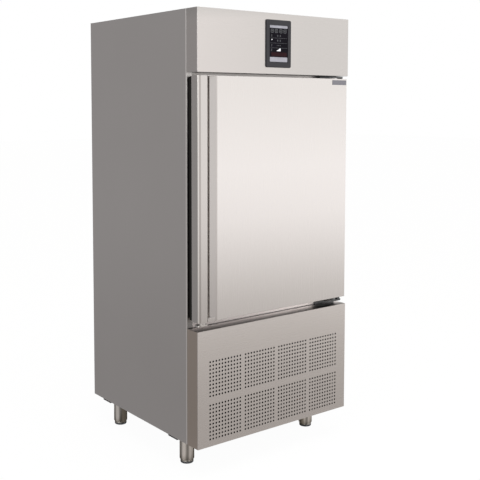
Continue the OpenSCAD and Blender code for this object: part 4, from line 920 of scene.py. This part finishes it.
def tile(x, z, width, height, corner=0.0, hollow=0.0):
    """A raised tile on the glass, placed in millimetres from the screen's middle."""
    deselect()
    bpy.ops.mesh.primitive_plane_add(
        size=MM, location=(screen.x + x * MM, screen.y + TILE_LIFT, screen.z + z * MM),
        rotation=(math.pi / 2, 0.0, 0.0))
    part = bpy.context.object
    part.scale = (width, height, 1.0)
    bpy.ops.object.transform_apply(location=False, rotation=False, scale=True)
    edit("VERT")
    if corner:
        bpy.ops.mesh.bevel(affect="VERTICES", offset=corner * MM, segments=4)
    bpy.ops.mesh.select_mode(type="FACE")
    bpy.ops.mesh.select_all(action="SELECT")
    if hollow:
        bpy.ops.mesh.inset(thickness=hollow * MM)
        bpy.ops.mesh.delete(type="FACE")
        bpy.ops.mesh.select_all(action="SELECT")
    push((0.0, -TILE_HEIGHT, 0.0))
    bpy.ops.object.mode_set(mode="OBJECT")
    return part


print("the screen's middle:", [round(c, 4) for c in screen])

# %% [markdown]
# A backlight isn't even, so each lit colour changes slowly and has a fine grain.

# %% Lit colours
def lit(name, colour, strength):
    """A lit part of the display: a soft glow that changes a little."""
    material, tree, shader = new_material(name)
    slow = use_group(tree, tone, Size=45.0).outputs["Tone"]
    fine = use_group(tree, grain, Stretch=(2600.0, 2600.0, 2600.0),
                     Detail=1.0).outputs["Streaks"]
    shade = blend_colour(tree, slow, shaded(colour, 0.85), colour)
    shade = blend_colour(tree, times(tree, fine, 0.2), shade, shaded(colour, 0.6))
    tree.links.new(shade, shader.inputs["Base Color"])
    tree.links.new(shade, shader.inputs["Emission Color"])
    shader.inputs["Emission Strength"].default_value = strength
    tree.links.new(remap(tree, fine, 0.3, 0.7, 0.26, 0.34), shader.inputs["Roughness"])
    shader.inputs["Specular IOR Level"].default_value = 0.1
    return material


pale_light = lit("pale_light", (0.3, 0.3, 0.34), 0.25)
sign_light = lit("sign_light", (0.1, 0.105, 0.11), 0.35)
white_light = lit("white_light", (0.8, 0.81, 0.85), 0.35)
red_light = lit("red_light", (0.013, 0.002, 0.004), 0.5)
print("lit colours up to", red_light.name)

# %% [markdown]
# The page is four pieces, one for each colour: bars, signs, the wedge with its dot, and the field.

# %% Bars and signs
BUTTONS_X, BUTTONS_Z = (-34.0, -12.5, 11.0, 33.0), 50.5

join([tile(0.0, 67.5, 93.0, 10.5, 1.5), tile(0.0, -62.5, 93.0, 18.5, 1.5)])
finish_piece("screen_bars", "cabinet", pale_light, smooth=False)

signs = [tile(x, BUTTONS_Z, 15.0, 15.0, 4.0, 1.7) for x in BUTTONS_X]
signs += [tile(x, BUTTONS_Z, 6.0, 4.5, 1.6, 1.2) for x in BUTTONS_X]
signs += [tile(0.0, z, 88.0, 0.7) for z in (22.5, 2.5, -16.5)]
signs += [tile(x, z, 5.0, 7.0, 2.0, 1.3) for z in (31.5, 12.5) for x in (-5.5, 8.0)]
signs += [tile(x, -7.0, 4.0, 3.0, 1.0, 0.8) for x in (-8.0, 0.0, 8.0)]
signs += [tile(-37.0, z, 3.5, 9.0, 1.2, 0.9) for z in (31.5, -7.0, -25.0)]
join(signs)
finish_piece("screen_signs", "cabinet", sign_light, smooth=False)

# %% Wedge and field
WEDGE_FOOT = -29.0
STEP_WIDTH, STEP_CORNER = 4.6, 0.4
WEDGE_STEPS = ((-7.5, 3.0), (-2.5, 5.0), (2.5, 8.0), (7.5, 11.0))

wedge = [tile(x, WEDGE_FOOT + tall / 2, STEP_WIDTH, tall, STEP_CORNER) for x, tall in WEDGE_STEPS]
wedge.append(tile(-36.0, 16.0, 4.6, 4.6, 1.9))
join(wedge)
finish_piece("screen_wedge", "cabinet", white_light, smooth=False)

tile(2.0, -42.0, 82.0, 16.0, 2.0)
finish_piece("screen_field", "cabinet", red_light, smooth=False)

# %% [markdown]
# ## The gasket
#
# A cold-room gasket is a soft bellows: a foot pressed into the door's profile, two folds, and a
# pocket that holds a magnet strip. Its corners are welded at 45 degrees. A sweep along a curve
# would narrow at such corners, so the ring is extruded step by step instead, and at each step the
# outer and the inner loop are resized by themselves, which keeps every fold parallel to the door.

# %% Gasket ring
SEAL_WIDTH = 0.020
DART = 0.005
seal_low, seal_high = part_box("door_gasket")
seal_half = Vector(((seal_high.x - seal_low.x) / 2, 0.0, (seal_high.z - seal_low.z) / 2))
seal_mid = (seal_low + seal_high) / 2
seal_start = seal_low.y + DART
seal_depth = seal_high.y - seal_start

deselect()
bpy.ops.mesh.primitive_plane_add(size=1.0, location=(seal_mid.x, seal_start, seal_mid.z),
                                 rotation=(math.pi / 2, 0.0, 0.0))
bpy.context.object.scale = (2 * seal_half.x, 2 * seal_half.z, 1.0)
bpy.ops.object.transform_apply(location=False, rotation=False, scale=True)
edit()
bpy.ops.mesh.inset(thickness=SEAL_WIDTH)
bpy.ops.mesh.delete(type="FACE")
print("the gasket is", round(seal_depth, 4), "deep")


# %% Resizing one loop
SAME_LEVEL = 1e-5
SAME_EDGE = 1e-4


def pick_points(test):
    """Selects the points of the active object that pass a test on their place."""
    bpy.ops.mesh.select_mode(type="VERT")
    bpy.ops.mesh.select_all(action="DESELECT")
    bpy.ops.object.mode_set(mode="OBJECT")
    for point in bpy.context.object.data.vertices:
        point.select = test(bpy.context.object.matrix_world @ point.co)
    bpy.ops.object.mode_set(mode="EDIT")


def resize_loop(y, loop_half, shift):
    """Moves one rectangular loop at y in or out by a distance."""
    pick_points(lambda at: abs(at.y - y) < SAME_LEVEL
                and abs(abs(at.x - seal_mid.x) - loop_half.x) < SAME_EDGE)
    bpy.ops.transform.resize(value=(1 + shift / loop_half.x, 1.0, 1 + shift / loop_half.z),
                             center_override=(seal_mid.x, y, seal_mid.z))


def lies_at(y):
    """A test for faces of the active object that lie at a given y."""
    ring = bpy.context.object
    return lambda face: all(abs((ring.matrix_world @ ring.data.vertices[i].co).y - y) < SAME_LEVEL
                            for i in face.vertices)


# %% Bellows
# Each step is a share of the depth, and how many millimetres narrower each wall is at its end.
SEAL_STEPS = ((0.08, 0.0), (0.04, 2.6), (0.16, 2.2), (0.16, 0.6), (0.06, 0.6), (0.14, 3.0),
              (0.06, 3.0), (0.05, 0.0), (0.2, 0.0), (0.05, 0.7))

level, waist = seal_start, 0.0
for share, narrower in SEAL_STEPS:
    pick(lies_at(level))
    push((0.0, share * seal_depth, 0.0))
    level += share * seal_depth
    for side, way in ((0.0, -1.0), (SEAL_WIDTH, 1.0)):
        inward = way * waist - side
        resize_loop(level, Vector((seal_half.x + inward, 0.0, seal_half.z + inward)),
                    way * (narrower * MM - waist))
    waist = narrower * MM
gasket = finish_piece("gasket_bellows", "door", rubber, slope=math.radians(30))
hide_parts("door_gasket")

# %% [markdown]
# ## The strips that close the door's ends
#
# The door is filled with foam after it is folded, and the foam must not show at its top and bottom.
# A thin angle strip closes each end: a flange that lies on the foam behind the handle, and a lip
# turned down the back as far as the profile. A plane is stretched to the flange, thickened, and
# the face at its back is pushed out and then turned toward the profile.

# %% Door end strips
STRIP = 0.0004
STRIP_LIFT = 0.00002
foam_low, foam_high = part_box("door_foam")
handle_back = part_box("handle_profile")[1].y
profile_low, profile_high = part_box("door_profile")
flange_front = handle_back - 0.0072
flange_back = handle_back - 0.0001


def end_strip(foam_z, profile_z):
    """One angle strip on the foam's end at foam_z, with its lip toward the profile's end."""
    outward = math.copysign(1.0, foam_z - profile_z)
    deselect()
    bpy.ops.mesh.primitive_plane_add(size=1.0, location=(
        0.0, (flange_front + flange_back) / 2, foam_z + outward * STRIP_LIFT))
    strip = bpy.context.object
    strip.scale = (2 * foam_high.x, flange_back - flange_front, 1.0)
    bpy.ops.object.transform_apply(location=False, rotation=False, scale=True)
    edit()
    push((0.0, 0.0, outward * STRIP))
    pick(lambda face: face.normal.y > 0.9)
    push((0.0, STRIP, 0.0))
    pick(lambda face: face.normal.z * outward < -0.9
         and face.center.y > (flange_back - flange_front) / 2)
    push((0.0, 0.0, profile_z - foam_z))
    bpy.ops.object.mode_set(mode="OBJECT")
    return strip


join([end_strip(foam_high.z, profile_high.z), end_strip(foam_low.z, profile_low.z)])
finish_piece("door_end_strips", "door", black_plastic, smooth=False)

# %% [markdown]
# ## The feet
#
# Each leg ends in a foot on a threaded stem: a turned ring with a knurled band for the fingers, a
# groove, and a soft dark pad that keeps the floor unmarked. A circle is extruded upward and resized
# again and again, which is what a lathe does to a bar. The knurl takes every second face of the
# band and pushes it in.

# %% Turning and knurling
TURN_SIDES = 48


def turned(profile, x, y):
    """A closed turned body: profile is (radius, height) pairs from the floor up."""
    deselect()
    radius, height = profile[0]
    bpy.ops.mesh.primitive_circle_add(vertices=TURN_SIDES, radius=radius, fill_type="NGON",
                                      location=(x, y, height))
    edit()
    for next_radius, next_height in profile[1:]:
        push((0.0, 0.0, next_height - height))
        bpy.ops.transform.resize(value=(next_radius / radius, next_radius / radius, 1.0))
        radius, height = next_radius, next_height


def push_alternate(low, high, depth):
    """Insets every second side face between two heights, pushes it inward, and counts them."""
    start = bpy.context.object.location.z

    def every_second(face):
        turn = math.atan2(face.center.y, face.center.x) / (2 * math.pi) * TURN_SIDES
        return (low < face.center.z + start < high and abs(face.normal.z) < 0.3
                and round(turn - 0.5) % 2 == 0)
    count = pick(every_second)
    bpy.ops.mesh.inset(thickness=0.0003, depth=-depth, use_individual=True)
    return count


# %% Feet with knurled rings, threads and pads
CREST, ROOT = 0.0199, 0.0189
THREAD_START, THREAD_RISE, THREAD_STEPS = 0.019, 0.0015, 48
THREAD = [(CREST if step % 2 else ROOT, THREAD_START + THREAD_RISE * step)
          for step in range(1, THREAD_STEPS + 1)]
FOOT = [(0.0253, 0.0082), (0.0264, 0.0086), (0.0270, 0.0092), (0.0270, 0.0104), (0.0264, 0.0108),
        (0.0264, 0.0112), (0.0270, 0.0116), (0.0270, 0.0150), (0.0264, 0.0157), (0.0215, 0.0161),
        (0.0199, 0.0175)] + THREAD + [(0.0165, 0.0940)]
PAD = [(0.0235, 0.0), (0.0255, 0.0), (0.0265, 0.0010), (0.0268, 0.0035), (0.0268, 0.0075),
       (0.0258, 0.0084)]
PAD_RINGS = ((0.003, 0.0), (0.002, -0.001), (0.003, 0.001))

for corner in ("front_left", "front_right", "rear_left", "rear_right"):
    node = "adjuster_" + corner
    low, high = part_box(node)
    x, y = (low.x + high.x) / 2, (low.y + high.y) / 2
    turned(FOOT, x, y)
    ribs = push_alternate(low=0.0118, high=0.0148, depth=0.0004)
    foot = finish_piece("foot_" + corner, node, leg_steel)
    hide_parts(node)
    turned(PAD, x, y)
    pick(lambda face: face.normal.z < -0.9 and face.center.xy.length < 0.02)
    for width, depth in PAD_RINGS:
        bpy.ops.mesh.inset(thickness=width, depth=depth)
    finish_piece("pad_" + corner, node, dark_plastic)
print("ribs on each knurled ring:", ribs)
